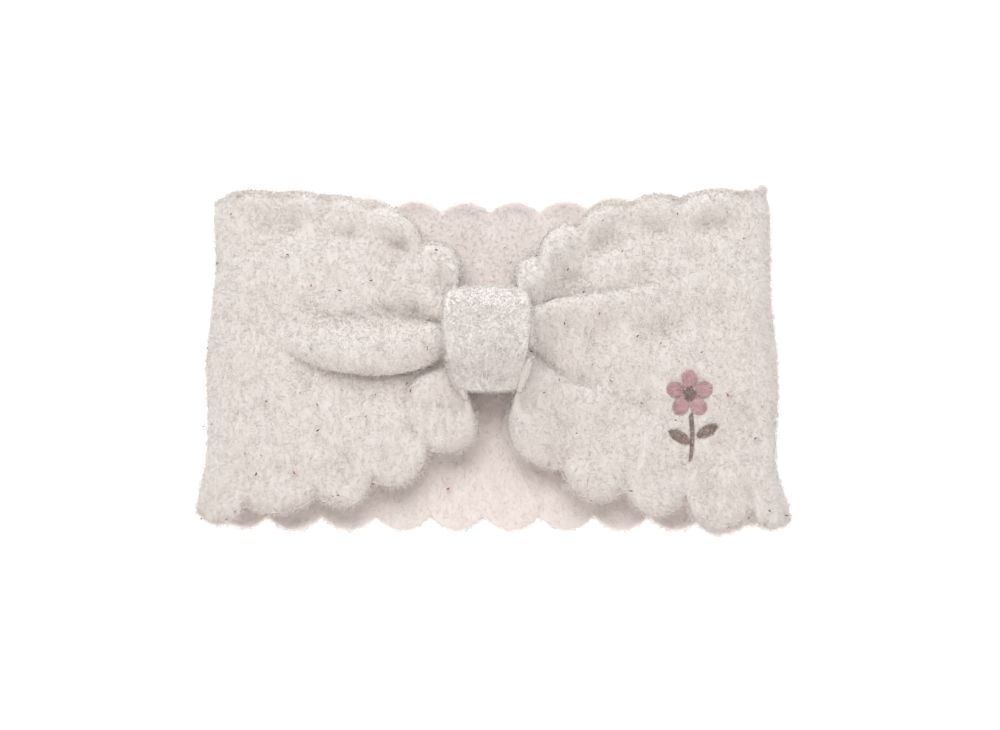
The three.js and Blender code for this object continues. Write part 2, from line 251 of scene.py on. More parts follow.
VALLEY_DEPTH, VALLEY_WIDTH = 2.0, 3.4  # creases that run in from the wings' valleys
LOBE_SWELL = 1.2  # how far the lobes between them puff up
LOWER_CURL, UPPER_CURL = 1.7, 2.6  # how far the wings' rims roll down

FAN_START = 0.55  # the gathers begin at this share of a wing's length from its side
MOUTH_START, MOUTH_END = 0.9, 0.99  # and the wing enters the knot here
KNIT_BOW = 9  # how far the knit beside the knot bows away from it
ARCH_HEIGHT = 4.4  # of the gathered knit inside the knot
PLEATS, PLEAT_HEIGHT = 5.5, 0.45


def wing_edges(side):
    """Both edges of a wing, from the side turn to the knot, as in the frame."""
    def corner(inward, y):
        return (side * (flat_half_width(y) - inward), y)

    def knot(out, up):
        return (KNOT_MIDDLE[0] + side * (MOUTH + out), KNOT_MIDDLE[1] + up)

    if side < 0:
        upper = [corner(0, LEFT_HIGH), corner(17, 68.6), corner(37, 67.2),
                 knot(36, 56), knot(13.5, 40), knot(3.2, 20), knot(-3.4, 14)]
        lower = [corner(0, LEFT_LOW), corner(10.5, -60.4), corner(40, -57),
                 knot(34, -58), knot(11.3, -46), knot(-0.6, -22), knot(-5, -15)]
        upper_bulges = [0.6, 0.8, 1.6, 5.5, 10.5, 0]
        lower_bulges = [2.0, 5.5, 8.0, 8.3, 15.5, 0]
    else:
        upper = [corner(0, RIGHT_HIGH), corner(4, 68.6), corner(30, 66.2), knot(45.5, 56.8),
                 knot(24.3, 48), knot(8.3, 35.4), knot(4.2, 19), knot(-3.4, 14)]
        lower = [corner(0, RIGHT_LOW), corner(7, -63.8), corner(34, -58.2),
                 knot(43.7, -61.8), knot(18, -53.5), knot(0.2, -22), knot(-5, -15)]
        upper_bulges = [0.6, 2.4, 2.6, 3.6, 5.0, 8.0, 0]
        lower_bulges = [1.5, 12.0, 9.3, 9.0, 13.0, 0]
    return scalloped_edge(lower, lower_bulges, side), scalloped_edge(upper, upper_bulges, -side)


def left_wing_folds(x, y):
    """The folds that run from the knot over the left wing."""
    main, main_shift = overlap_fold(
        x, y, [(-92, 7), (-85, 3.6), (-76, -0.8), (-64, -3.8), (-48, -5.0), (-31, -2.4), (-20, 3.6),
               (-11, 9)],
        heights=[0, 2.4, 4.6, 6.2, 7.2, 7.2, 6.0, 3.5], rise=7.5, spread=15, overhang=2.2,
        groove=1.6)
    flap, flap_shift = overlap_fold(
        x, y, [(-28, -38), (-34, -27), (-36, -17), (-31, -9), (-19, -4)][::-1],
        heights=[2.5, 3.2, 2.6, 1.6, 0.6], rise=5, spread=13, overhang=0.5, groove=0.8)
    lift = main + flap
    lift += crease(x, y, [(-46, 14), (-37, 15), (-27, 14.6), (-14, 13)], [0, 2.6, 4.4, 4.6], 2.2)
    lift += dome(x, y, (-27, 24), (11, 7), 2.6, -0.5)
    lift += dome(x, y, (-40, 55), (9.5, 7.5), 2.6, -0.7)
    lift += dome(x, y, (-24, 39.5), (9, 8), 3.0, -0.8)
    lift += dome(x, y, (-39, 47), (8, 4), -2.5, -0.3) + dome(x, y, (-38, 19), (13, 4), -1.8)
    lift += dome(x, y, (-86, 55), (8.5, 5), -2.6) + dome(x, y, (-60.5, 51), (7, 4.5), -2.3)
    lift += dome(x, y, (-97, 36), (12, 14), 1.0) + dome(x, y, (-62, 24), (20, 9), 1.0, 0.1)
    lift += dome(x, y, (-75, -30), (20, 14), 1.2) + dome(x, y, (-48, -25), (12, 13), 1.0)
    return lift, main_shift + flap_shift


def right_wing_folds(x, y):
    """The folds that run from the knot over the right wing."""
    upper, upper_shift = overlap_fold(
        x, y, [(8, 16.5), (16, 19.4), (28, 23.2), (44, 25.4), (60, 28.5), (78, 33), (96, 37)][::-1],
        heights=[0, 0.7, 1.7, 2.8, 4.2, 4.8, 3.6], rise=4.6, spread=19, overhang=1.0, groove=1.1)
    lower, lower_shift = overlap_fold(
        x, y, [(8, 5.5), (14.5, 1.4), (20, -4), (26, -8.2), (36, -13), (48, -17), (60, -20)][::-1],
        heights=[0, 0.7, 1.6, 2.8, 3.8, 4.0, 2.6], rise=4.5, spread=16, overhang=0.9, groove=0.9)
    lift = upper + lower
    lift += dome(x, y, (44, 12), (12, 6), -1.8) + dome(x, y, (70, 13), (9, 5.5), -1.3)
    lift += dome(x, y, (17, 34.5), (8, 7), 2.6, 0.9) + dome(x, y, (29, 45.5), (8, 6.5), 2.8, 0.8)
    lift += dome(x, y, (44.5, 58), (8, 5.5), 2.2, 0.6) + dome(x, y, (46, 46), (8, 6), -2.5, 0.5)
    lift += dome(x, y, (34, 33), (9, 4.5), -1.8, 0.3)
    lift += dome(x, y, (68, 53), (6.5, 5), -1.9) + dome(x, y, (89.5, 54.5), (8.5, 4.5), -2.5, 0.2)
    lift += dome(x, y, (16, -31), (7, 12), 1.6, 0.2) + dome(x, y, (45, -38), (14, 12), 1.1)
    lift += dome(x, y, (104, 20), (9, 22), 0.9)
    lift += crease(x, y, [(28, -46), (31, -38), (33, -30)], [1.4, 0.9, 0], 3.0)
    return lift, upper_shift + lower_shift


def edge_relief(edge_distance, valley_distance, lobe, curl):
    """Puffed scallops: a soft crease runs in from each valley, and the rims roll down by curl."""
    near = np.exp(-(edge_distance / 11) ** 2)
    valley = -VALLEY_DEPTH * np.exp(-(valley_distance / VALLEY_WIDTH) ** 2) * near
    swell = LOBE_SWELL * lobe * np.exp(-((edge_distance - 7) / 6.5) ** 2)
    roll = -curl * (1 - smooth(edge_distance, 0, 6.5)) ** 1.5
    return valley + swell + roll


def wing_sheet(side, share, rows):
    """The middle surface of a wing, for shares of its length from the turn to the knot."""
    lower, upper = wing_edges(side)
    low, low_valley, low_lobe = lower(share)
    high, high_valley, high_lobe = upper(share)
    u, v = share[:, None], rows
    span = np.linalg.norm(high - low, axis=1)[:, None]
    bow = side * KNIT_BOW * smooth(u, FAN_START, MOUTH_START) * smooth(1 - u, 0, 0.08)
    weights = ((1 - v) ** 2, 2 * v * (1 - v), v**2)
    middle_x = (low[:, 0] + high[:, 0])[:, None] / 2 + bow
    x = weights[0] * low[:, :1] + weights[1] * middle_x + weights[2] * high[:, :1]
    y = mix(low[:, 1:], high[:, 1:], v)

    fan = smooth(u, FAN_START, 1) ** 2
    mouth = smooth(u, MOUTH_START, MOUTH_END)
    held = mix(smooth(v, 0, 0.3) * smooth(1 - v, 0, 0.16), 1, mouth)
    arch = np.sqrt(np.clip(1 - (2 * v - 1) ** 2, 0, 1))
    z = FRONT_Z + (KNOT_MIDDLE[2] - FRONT_Z) * fan * held
    z = z + ARCH_HEIGHT * fan * arch
    z = z + PLEAT_HEIGHT * fan * np.cos(2 * math.pi * PLEATS * v + 0.8) * arch

    folds = left_wing_folds if side < 0 else right_wing_folds
    lift, shift = folds(x, y)
    fade = 1 - mouth
    z = z + lift * fade
    z = z + edge_relief(v * span, low_valley[:, None], low_lobe[:, None], LOWER_CURL) * fade
    z = z + edge_relief((1 - v) * span, high_valley[:, None], high_lobe[:, None],
                        UPPER_CURL) * fade
    z = z + unevenness(x, y, 11 + side, 30, 0.55) + unevenness(x, y, 21 + side, 11, 0.16)
    x = x + shift[..., 0] * fade
    y = y + shift[..., 1] * fade
    return np.stack([x, y, np.maximum(z, FRONT_Z - 1.8)], -1)


def gather_sheet(from_side, to_side, steps, rows):
    """The gathered knit inside the knot, from one mouth towards the other."""
    start = wing_sheet(from_side, np.array([1.0]), rows)
    end = wing_sheet(to_side, np.array([1.0]), rows)
    return mix(start, end, steps[:, None, None])


# how far a side turn stands out past its even fold: height up the band, then distance
LEFT_SLACK = ((-74, 1.0), (-68, 2.2), (-60, 2.8), (-50, 1.4), (-40, 0.2), (-24, 0.6), (-4, 2.5),
              (10, 2.1), (28, 0.9), (40, 0.8), (58, 2.6), (65, 1.6), (72, -0.6))
RIGHT_SLACK = ((-74, 0.2), (-69, 1.3), (-63, 1.7), (-56, -0.2), (-46, -3.2), (-34, -2.5),
               (-16, -0.4), (0, 0.1), (18, -0.8), (30, -1.1), (48, 0.1), (62, 0.5), (72, -1.7))


def turn_edges(side, around):
    """The lower and upper edge of a side turn, for shares of its length."""
    swell = np.sin(math.pi * around)
    if side < 0:
        return LEFT_LOW + 5.0 * swell**2, LEFT_HIGH - 4.6 * swell**1.5
    return RIGHT_LOW + 3.2 * swell**2, RIGHT_HIGH + 1.6 * swell


def turn_sheet(side, around, rows):
    """A side turn, from the back panel up to the wing, for shares of the half circle."""
    low, high = turn_edges(side, around)
    y = mix(low[:, None], high[:, None], rows)
    angle = (around[:, None] - 0.5) * math.pi
    slack = LEFT_SLACK if side < 0 else RIGHT_SLACK
    path = smooth_path(slack, steps=120)
    reach = (TURN_RADIUS + np.interp(y, path[:, 0], path[:, 1])) * np.cos(angle)
    x = side * (flat_half_width(y) + reach)
    z = BACK_Z + TURN_RADIUS * (1 + np.sin(angle))
    return np.stack([x, y, np.broadcast_to(z, x.shape)], -1)


def back_sheet(share, rows):
    """The back panel's middle surface, for shares of its width from the right turn to the left."""
    v = rows
    place = (1 - 2 * share) * flat_half_width(0)
    at_turn = smooth(np.abs(place), 96, flat_half_width(0))[:, None]
    right = (place > 0)[:, None]
    low_lobe = np.abs(np.sin(math.pi * (place - LOWER_VALLEY) / LOWER_PITCH))[:, None]
    high_lobe = np.abs(np.sin(math.pi * (place - UPPER_VALLEY) / UPPER_PITCH))[:, None]
    outwards = smooth(np.abs(place), 20, 55)[:, None]
    low = LOWER_LEVEL - LOWER_DEPTH * low_lobe**BACK_LOBE_ROUNDNESS
    high = UPPER_LEVEL + UPPER_DEPTH * high_lobe**BACK_LOBE_ROUNDNESS + 2.0 * outwards
    low = mix(low, np.where(right, RIGHT_LOW, LEFT_LOW), at_turn)
    high = mix(high, np.where(right, RIGHT_HIGH, LEFT_HIGH), at_turn)
    y = mix(low, high, v)
    x = place[:, None] / flat_half_width(0) * flat_half_width(y)
    span = high - low
    low_near = np.exp(-(v * span / 9) ** 2)
    high_near = np.exp(-((1 - v) * span / 9) ** 2)
    away = 1 - at_turn
    z = BACK_Z + unevenness(x, y, 31, 34, 0.3) * away
    z = z - 0.7 * (1 - low_lobe) ** 2 * low_near * away
    z = z - 0.7 * (1 - high_lobe) ** 2 * high_near * away
    z = z + 0.5 * low_lobe * (1 - smooth(v * span, 0, 5)) * away
    z = z + 1.2 * high_lobe * (1 - smooth((1 - v) * span, 0, 6)) * away
    return np.stack([x, y, np.clip(z, 1.5, 3.9)], -1)


def band_rows():
    """Places across the strip from 0 to 1, closer together at the two rims."""
    rim = np.array(RIM_ROWS) / STRIP_WIDTH
    inner = np.linspace(0, 1, ROWS + 1)[1:-1]
    inner = inner[(inner > rim[-1] + 0.003) & (inner < 1 - rim[-1] - 0.003)]
    return np.concatenate([rim, inner, 1 - rim[::-1]])


def band_middle(rows):
    """The whole loop's middle surface: knot, right wing, right turn, back, left turn, left wing."""
    v = rows[None, :]
    wing = np.linspace(0, 1, WING_COLUMNS, endpoint=False)
    turn = np.linspace(0, 1, TURN_COLUMNS, endpoint=False)
    back = np.linspace(0, 1, BACK_COLUMNS, endpoint=False)
    gather = np.linspace(0, 1, GATHER_COLUMNS, endpoint=False)
    return np.concatenate([
        wing_sheet(1, 1 - wing, v),
        turn_sheet(1, 1 - turn, v),
        back_sheet(back, v),
        turn_sheet(-1, turn, v),
        wing_sheet(-1, wing, v),
        gather_sheet(-1, 1, gather, v),
    ])


def relax(grid, passes):
    """Evens the loop's grid of points out, and leaves its two rims where they are."""
    for _ in range(passes):
        along = (np.roll(grid, 1, 0) + np.roll(grid, -1, 0)) / 2
        across = grid.copy()
        across[:, 1:-1] = (grid[:, :-2] + grid[:, 2:]) / 2
        eased = grid + 0.25 * (along - grid) + 0.25 * (across - grid)
        eased[:, :5] = grid[:, :5]
        eased[:, -5:] = grid[:, -5:]
        grid = eased
    return grid


def grid_normals(grid, wrap):
    """The outward direction at each point of a grid, whose two ends meet if it wraps."""
    if wrap:
        along = np.roll(grid, -1, 0) - np.roll(grid, 1, 0)
    else:
        along = np.gradient(grid, axis=0)
    across = np.gradient(grid, axis=1)
    normal = np.cross(along, across)
    return normal / np.maximum(np.linalg.norm(normal, axis=2), 1e-9)[..., None]


def thick_sheet(grid, half, wrap):
    """Vertices and faces of a closed cloth of the given half thickness round a grid of points.
    The outer face's points and faces come first, then the inner face's."""
    columns, rows = grid.shape[:2]
    normal = grid_normals(grid, wrap)
    outer, inner = grid + normal * half[..., None], grid - normal * half[..., None]
    points = np.concatenate([outer.reshape(-1, 3), inner.reshape(-1, 3)])
    number = np.arange(columns * rows).reshape(columns, rows)
    if wrap:
        number = np.vstack([number, number[:1]])
    a, b, c, d = number[:-1, :-1], number[1:, :-1], number[1:, 1:], number[:-1, 1:]
    total = columns * rows
    front = np.stack([a, b, c, d], -1).reshape(-1, 4)
    behind = np.stack([a, d, c, b], -1).reshape(-1, 4) + total
    low = np.stack([number[:-1, 0] + total, number[1:, 0] + total,
                    number[1:, 0], number[:-1, 0]], -1)
    high = np.stack([number[:-1, -1], number[1:, -1],
                     number[1:, -1] + total, number[:-1, -1] + total], -1)
    faces = [front, behind, low, high]
    if not wrap:
        first, last = number[0], number[-1]
        faces.append(np.stack([first[:-1], first[1:], first[1:] + total, first[:-1] + total], -1))
        faces.append(np.stack([last[:-1] + total, last[1:] + total, last[1:], last[:-1]], -1))
    return points, np.vstack(faces)


def mesh_object(name, points, faces, material):
    """A smooth mesh object at the origin. Points are in millimetres."""
    mesh = bpy.data.meshes.new(name)
    mesh.from_pydata((np.asarray(points) * MM).tolist(), [], np.asarray(faces).tolist())
    mesh.update()
    mesh.polygons.foreach_set("use_smooth", np.ones(len(mesh.polygons), bool))
    mesh.materials.append(material)
    made = bpy.data.objects.new(name, mesh)
    bpy.context.scene.collection.objects.link(made)
    return made


def band_faces():
    """The strip's middle surface with its normals and half thickness, ready to cover or to mesh."""
    rows = band_rows()
    grid = relax(band_middle(rows), 2)
    rim = np.minimum(rows, 1 - rows) * STRIP_WIDTH
    rounding = np.sqrt(np.clip(1 - (1 - np.clip(rim / RIM_ROWS[-1], 0, 1)) ** 2, 0.06, 1))
    half = np.ones(grid.shape[:2]) * rounding[None] * KNIT_HALF
    return grid, grid_normals(grid, wrap=True), half


def surface_above(grid):
    """A tree to look up the height of the uppermost knit in."""
    columns, rows = grid.shape[:2]
    number = np.arange(columns * rows).reshape(columns, rows)
    faces = np.stack([number[:-1, :-1], number[1:, :-1], number[1:, 1:], number[:-1, 1:]], -1)
    return BVHTree.FromPolygons(grid.reshape(-1, 3).tolist(), faces.reshape(-1, 4).tolist())


def meeting(tree, start, way):
    """The height at which a line from start first meets the surface."""
    hit = tree.ray_cast(Vector(start), Vector(way))[0]
    if hit is None:
        raise ValueError(f"nothing lies at {start[0]:.1f}, {start[1]:.1f}")
    return hit.z


def height_at(tree, x, y):
    """The height of the uppermost surface there."""
    return meeting(tree, (x, y, 100), (0, 0, -1))


def underside_at(tree, x, y):
    """The height of the first surface above the back panel there."""
    return meeting(tree, (x, y, KNIT_DEPTH + 1), (0, 0, 1))


def small_sheet(low, high, columns, rows, corner):
    """A flat grid in the middle of a box, with its corners rounded off."""
    u, v = np.linspace(-1, 1, columns), np.linspace(-1, 1, rows)
    half = (high - low)[:2] / 2
    x, y = np.meshgrid(u * half[0], v * half[1], indexing="ij")
    near_x = np.clip((np.abs(x) - (half[0] - corner)) / corner, 0, 1)
    near_y = np.clip((np.abs(y) - (half[1] - corner)) / corner, 0, 1)
    cut = np.maximum(np.hypot(near_x, near_y) - 1, 0) * corner * 0.7
    x = x - np.sign(x) * cut * (near_x > 0)
    y = y - np.sign(y) * cut * (near_y > 0)
    middle = (low + high) / 2
    return np.stack([x + middle[0], y + middle[1], np.full_like(x, middle[2])], -1)


def sewn_line(corners_of_line, level, steps, lift):
    """A thread through the given places, which rises a little between each two."""
    line = []
    for a, b in zip(corners_of_line[:-1], corners_of_line[1:]):
        for k in range(steps):
            t = k / steps
            x, y = mix(a[0], b[0], t), mix(a[1], b[1], t)
            line.append((x, y, level(x, y) + lift * math.sin(math.pi * t)))
    return np.array(line)


# ---------------------------------------------------------------- the knot

KNOT_WALL = 2.6  # thickness of the ring's knit with its pile
KNOT_COLUMNS = 132  # round the ring
KNOT_ROWS = 60  # across it
# the ring's half width against the frame's, from its lower end (0) to its upper end (1)
KNOT_OUTLINE = ((0, 0.08, 0.2, 0.4, 0.62, 0.82, 0.92, 1),
                (-4.6, -3.4, -1.9, 0.0, 1.2, 1.0, 0.1, -2.2))
KNOT_ROUNDNESS = 2.05  # 2 is an ellipse, and more is squarer
PINCH = (0.05, 0.12)  # how much the rims draw in, along the band's width and its depth
KNOT_DROOP = 2.6  # how far the ring's top falls away towards its lower end


def knot_middle():
    """The ring's middle surface: round the gather, and across from left to right."""
    around = np.linspace(0, 2 * math.pi, KNOT_COLUMNS, endpoint=False)[:, None]
    across = np.sin(np.linspace(-1, 1, KNOT_ROWS) * math.pi / 2)[None, :]
    power = 2 / KNOT_ROUNDNESS
    c = np.sign(np.cos(around)) * np.abs(np.cos(around)) ** power
    s = np.sign(np.sin(around)) * np.abs(np.sin(around)) ** power
    draw = np.abs(across) ** 2.6
    y = (KNOT_SIZE[1] - KNOT_WALL) / 2 * c * (1 - PINCH[0] * draw)
    z = (KNOT_SIZE[2] - KNOT_WALL) / 2 * s * (1 - PINCH[1] * draw)
    share = np.clip(0.5 + y / KNOT_SIZE[1], 0, 1)
    half = KNOT_SIZE[0] / 2 + np.interp(share, *KNOT_OUTLINE)
    x = half * across
    top = smooth(z, 0, 6)
    z = z + top * (unevenness(x, y, 41, 17, 0.35) + unevenness(x, y, 43, 7, 0.16))
    wrinkles = crease(x, y, [(-15, -8), (-5, -13), (6, -15)], [0.2, 0.8, 0.3], 2.0)
    wrinkles += crease(x, y, [(16, 6), (9, -4), (7, -15)], [0.2, 0.7, 0.5], 2.2)
    wrinkles += crease(x, y, [(-16, 12), (-10, 4), (-9, -6)], [0.1, 0.5, 0.2], 2.4)
    z = z + top * wrinkles * 0.9
    z = z - top * KNOT_DROOP * smooth(-y, 0, 19)
    return np.stack([x, y, z], -1) + KNOT_MIDDLE


def knot_half():
    """Half the thickness of the ring's knit, rounded off at its two rims."""
    across = np.abs(np.sin(np.linspace(-1, 1, KNOT_ROWS) * math.pi / 2))
    rounding = np.sqrt(np.clip(1 - (np.clip(across - 0.9, 0, 1) / 0.1) ** 2, 0.08, 1))
    return np.ones((KNOT_COLUMNS, 1)) * rounding[None] * KNIT_HALF


# ---------------------------------------------------------------- materials

def new_material(name, roughness, sheen):
    """A material with its shader's plain values set. It returns the material, tree and shader."""
    material = bpy.data.materials.new(name)
    material.use_nodes = True
    tree = material.node_tree
    shader = tree.nodes["Principled BSDF"]
    shader.inputs["Roughness"].default_value = roughness
    shader.inputs["Specular IOR Level"].default_value = 0.25
    shader.inputs["Sheen Weight"].default_value = sheen
    shader.inputs["Sheen Roughness"].default_value = 0.5
    return material, tree, shader


def noise(tree, scale, detail, roughness, coordinates):
    """Soft noise from 0 to 1. A larger scale is finer."""
    node = tree.nodes.new("ShaderNodeTexNoise")
    node.inputs["Scale"].default_value = scale
    node.inputs["Detail"].default_value = detail
    node.inputs["Roughness"].default_value = roughness
    tree.links.new(coordinates, node.inputs["Vector"])
    return node.outputs["Fac"]


def object_coordinates(tree):
    """Places in the headband's own frame, in metres."""
    return tree.nodes.new("ShaderNodeTexCoord").outputs["Object"]


def colour_ramp(tree, factor, stops):
    """A colour for each value of a factor, through stops of (value, colour)."""
    ramp = tree.nodes.new("ShaderNodeValToRGB")
    elements = ramp.color_ramp.elements
    while len(elements) < len(stops):
        elements.new(0.5)
    for element, (position, colour) in zip(elements, stops):
        element.position = position
        element.color = (*colour, 1)
    tree.links.new(factor, ramp.inputs["Fac"])
    return ramp.outputs["Color"]


def bump(tree, shader, height, strength, distance):
    """Makes a shader's surface rough by a height pattern. Distance is in metres."""
    node = tree.nodes.new("ShaderNodeBump")
    node.inputs["Strength"].default_value = strength
    node.inputs["Distance"].default_value = distance
    tree.links.new(height, node.inputs["Height"])
    tree.links.new(node.outputs["Normal"], shader.inputs["Normal"])


def wave(tree, direction, scale, distortion, coordinates):
    """Rows of waves from 0 to 1. A larger scale is finer."""
    node = tree.nodes.new("ShaderNodeTexWave")
    node.bands_direction = direction
    node.inputs["Scale"].default_value = scale
    node.inputs["Distortion"].default_value = distortion
    tree.links.new(coordinates, node.inputs["Vector"])
    return node.outputs["Fac"]


def mottled(name, roughness, sheen, grain, stops):
    """A material with soft variations of colour, through stops of (value, colour). Grain is the
    scale, detail and roughness of their noise. It returns the coordinates as well."""
    material, tree, shader = new_material(name, roughness, sheen)
    place = object_coordinates(tree)
    colour = colour_ramp(tree, noise(tree, *grain, place), stops)
    tree.links.new(colour, shader.inputs["Base Color"])
    return material, tree, shader, place


def brushed_knit(name, light, shade):
    """Brushed knit: soft mottling a few millimetres across, and a matted surface."""
    material, tree, shader, place = mottled(name, 0.95, 0.25, (95, 5, 0.7),
                                            [(0.34, shade), (0.66, light)])
    bump(tree, shader, noise(tree, 900, 4, 0.75, place), 0.35, 0.0006)
    return material


def jersey_knit(name, light, shade):
    """The knot's knit: its rows of stitches show through a shorter pile."""
    material, tree, shader, place = mottled(name, 0.9, 0.25, (160, 4, 0.65),
                                            [(0.34, shade), (0.66, light)])
    wales = wave(tree, "X", 330, 3.5, place)
    courses = wave(tree, "Y", 430, 4.0, place)
    bump(tree, shader, math_node(tree, "MULTIPLY", wales, courses), 0.35, 0.0003)
    return material


def non_woven(name):
    """Pressed, fibrous sheet."""
    material, tree, shader, place = mottled(
        name, 0.8, 0.0, (700, 5, 0.8), [(0.3, (0.74, 0.73, 0.71)), (0.7, (0.86, 0.85, 0.83))])
    bump(tree, shader, noise(tree, 1500, 3, 0.7, place), 0.4, 0.0002)
    return material


def plain_fibre(name, colour):
    """One fibre colour. The fibres themselves make the texture."""
    material, _, shader = new_material(name, 0.85, 0.1)
    shader.inputs["Base Color"].default_value = (*colour, 1)
    return material


def embroidery_thread(name, light, shade):
    """Shiny twisted thread, a little darker in places."""
    material, tree, shader, place = mottled(name, 0.42, 0.2, (420, 2, 0.5),
                                            [(0.3, shade), (0.7, light)])
    bump(tree, shader, noise(tree, 3200, 2, 0.5, place), 0.4, 0.0002)
    return material


def woven_ribbon(name, colour, shade):
    """Fine woven ribbon, with its threads across and along."""
    material, tree, shader, place = mottled(name, 0.5, 0.15, (260, 2, 0.5),
                                            [(0.35, shade), (0.7, colour)])
    bump(tree, shader, wave(tree, "Y", 800, 0.6, place), 0.35, 0.0001)
    return material


# ---------------------------------------------------------------- geometry nodes

def node_tree(name, inputs):
    """An empty geometry tree with named inputs: (name, socket type, default)."""
    tree = bpy.data.node_groups.new(name, "GeometryNodeTree")
    tree.interface.new_socket("Geometry", in_out="INPUT", socket_type="NodeSocketGeometry")
    for label, kind, default in inputs:
        socket = tree.interface.new_socket(label, in_out="INPUT", socket_type=kind)
        socket.default_value = default
    tree.interface.new_socket("Geometry", in_out="OUTPUT", socket_type="NodeSocketGeometry")
    return tree, tree.nodes.new("NodeGroupInput"), tree.nodes.new("NodeGroupOutput")


def math_node(tree, operation, a, b):
    """The result of an operation on two values, each a number or a socket."""
    node = tree.nodes.new("ShaderNodeMath")
    node.operation = operation
    for socket, value in zip(node.inputs, (a, b)):
        if isinstance(value, (int, float)):
            socket.default_value = value
        else:
            tree.links.new(value, socket)
    return node.outputs[0]


def random_value(tree, kind, low, high, seed):
    """A random value for each point, from low to high."""
    node = tree.nodes.new("FunctionNodeRandomValue")
    node.data_type = kind
    places = {"FLOAT": (2, 3, 1), "INT": (4, 5, 2)}[kind]  # of low, high and the result
    for place, value in zip(places[:2], (low, high)):
        socket = node.inputs[place]
        if isinstance(value, bpy.types.NodeSocket):
            tree.links.new(value, socket)
        else:
            socket.default_value = value
    node.inputs["Seed"].default_value = seed
    return node.outputs[places[2]]


def scatter_tree(fibres, material, clear_of=None):
    """Scatters fibres over a surface, leaning at random, where its attribute "cover" lets them.
    None grows right under clear_of."""
    tree, given, result = node_tree("Scattered fibres", [
        ("Density", "NodeSocketFloat", 1.0),
        ("Length", "NodeSocketFloat", 1.0),
        ("Least lean", "NodeSocketFloat", 0.6),
        ("Most lean", "NodeSocketFloat", 1.4),
        ("Clearance", "NodeSocketFloat", 0.001),
        ("Seed", "NodeSocketInt", 1),
    ])
    link = tree.links.new
    cover = tree.nodes.new("GeometryNodeInputNamedAttribute")
    cover.data_type = "FLOAT"
    cover.inputs["Name"].default_value = "cover"
    density = math_node(tree, "MULTIPLY", cover.outputs["Attribute"], given.outputs["Density"])
    scatter = tree.nodes.new("GeometryNodeDistributePointsOnFaces")
    link(given.outputs["Geometry"], scatter.inputs["Mesh"])
    link(density, scatter.inputs["Density"])
    link(given.outputs["Seed"], scatter.inputs["Seed"])

    lean = random_value(tree, "FLOAT", given.outputs["Least lean"], given.outputs["Most lean"], 3)
    spin = random_value(tree, "FLOAT", 0.0, 2 * math.pi, 4)
    angles = tree.nodes.new("ShaderNodeCombineXYZ")
    link(lean, angles.inputs["X"])
    link(spin, angles.inputs["Z"])
    own = tree.nodes.new("FunctionNodeEulerToRotation")
    link(angles.outputs[0], own.inputs[0])
    turned = tree.nodes.new("FunctionNodeRotateRotation")
    turned.rotation_space = "LOCAL"
    link(scatter.outputs["Rotation"], turned.inputs["Rotation"])
    link(own.outputs[0], turned.inputs["Rotate By"])

    source = tree.nodes.new("GeometryNodeCollectionInfo")
    source.inputs["Collection"].default_value = fibres
    source.inputs["Separate Children"].default_value = True
    source.inputs["Reset Children"].default_value = True
    points = scatter.outputs["Points"]
    if clear_of is not None:
        other = tree.nodes.new("GeometryNodeObjectInfo")
        other.inputs["Object"].default_value = clear_of
        gap = tree.nodes.new("GeometryNodeProximity")
        link(other.outputs["Geometry"], gap.inputs[0])
        prune = tree.nodes.new("GeometryNodeDeleteGeometry")
        link(points, prune.inputs["Geometry"])
        link(math_node(tree, "LESS_THAN", gap.outputs["Distance"], given.outputs["Clearance"]),
             prune.inputs["Selection"])
        points = prune.outputs["Geometry"]
    place = tree.nodes.new("GeometryNodeInstanceOnPoints")
    link(points, place.inputs["Points"])
    link(source.outputs[0], place.inputs["Instance"])
    place.inputs["Pick Instance"].default_value = True
    link(random_value(tree, "INT", 0, len(fibres.objects) - 1, 5), place.inputs["Instance Index"])
    link(turned.outputs[0], place.inputs["Rotation"])
    growth = random_value(tree, "FLOAT", 0.65, 1.25, 6)
    link(math_node(tree, "MULTIPLY", growth, given.outputs["Length"]), place.inputs["Scale"])
    finish_tree(tree, place.outputs["Instances"], material, result)
    return tree


def finish_tree(tree, geometry, material, result):
    """Real geometry with its material, as the last two steps."""
    real = tree.nodes.new("GeometryNodeRealizeInstances")
    paint = tree.nodes.new("GeometryNodeSetMaterial")
    paint.inputs["Material"].default_value = material
    tree.links.new(geometry, real.inputs[0])
    tree.links.new(real.outputs[0], paint.inputs["Geometry"])
    tree.links.new(paint.outputs[0], result.inputs[0])


def run_tree(source, tree, values, name):
    """Evaluates a tree on an object and keeps the result as a plain mesh object."""
    modifier = source.modifiers.new("Nodes", "NODES")
    modifier.node_group = tree
    for socket in tree.interface.items_tree:
        if socket.item_type == "SOCKET" and socket.in_out == "INPUT" and socket.name in values:
            modifier[socket.identifier] = values[socket.name]
    bpy.context.view_layer.update()
    evaluated = source.evaluated_get(bpy.context.evaluated_depsgraph_get())
    mesh = bpy.data.meshes.new_from_object(evaluated)
    source.modifiers.remove(modifier)
    mesh.name = name
    if "cover" in mesh.attributes:
        mesh.attributes.remove(mesh.attributes["cover"])
    made = bpy.data.objects.new(name, mesh)
    bpy.context.scene.collection.objects.link(made)
    mesh.polygons.foreach_set("use_smooth", np.ones(len(mesh.polygons), bool))
    return made


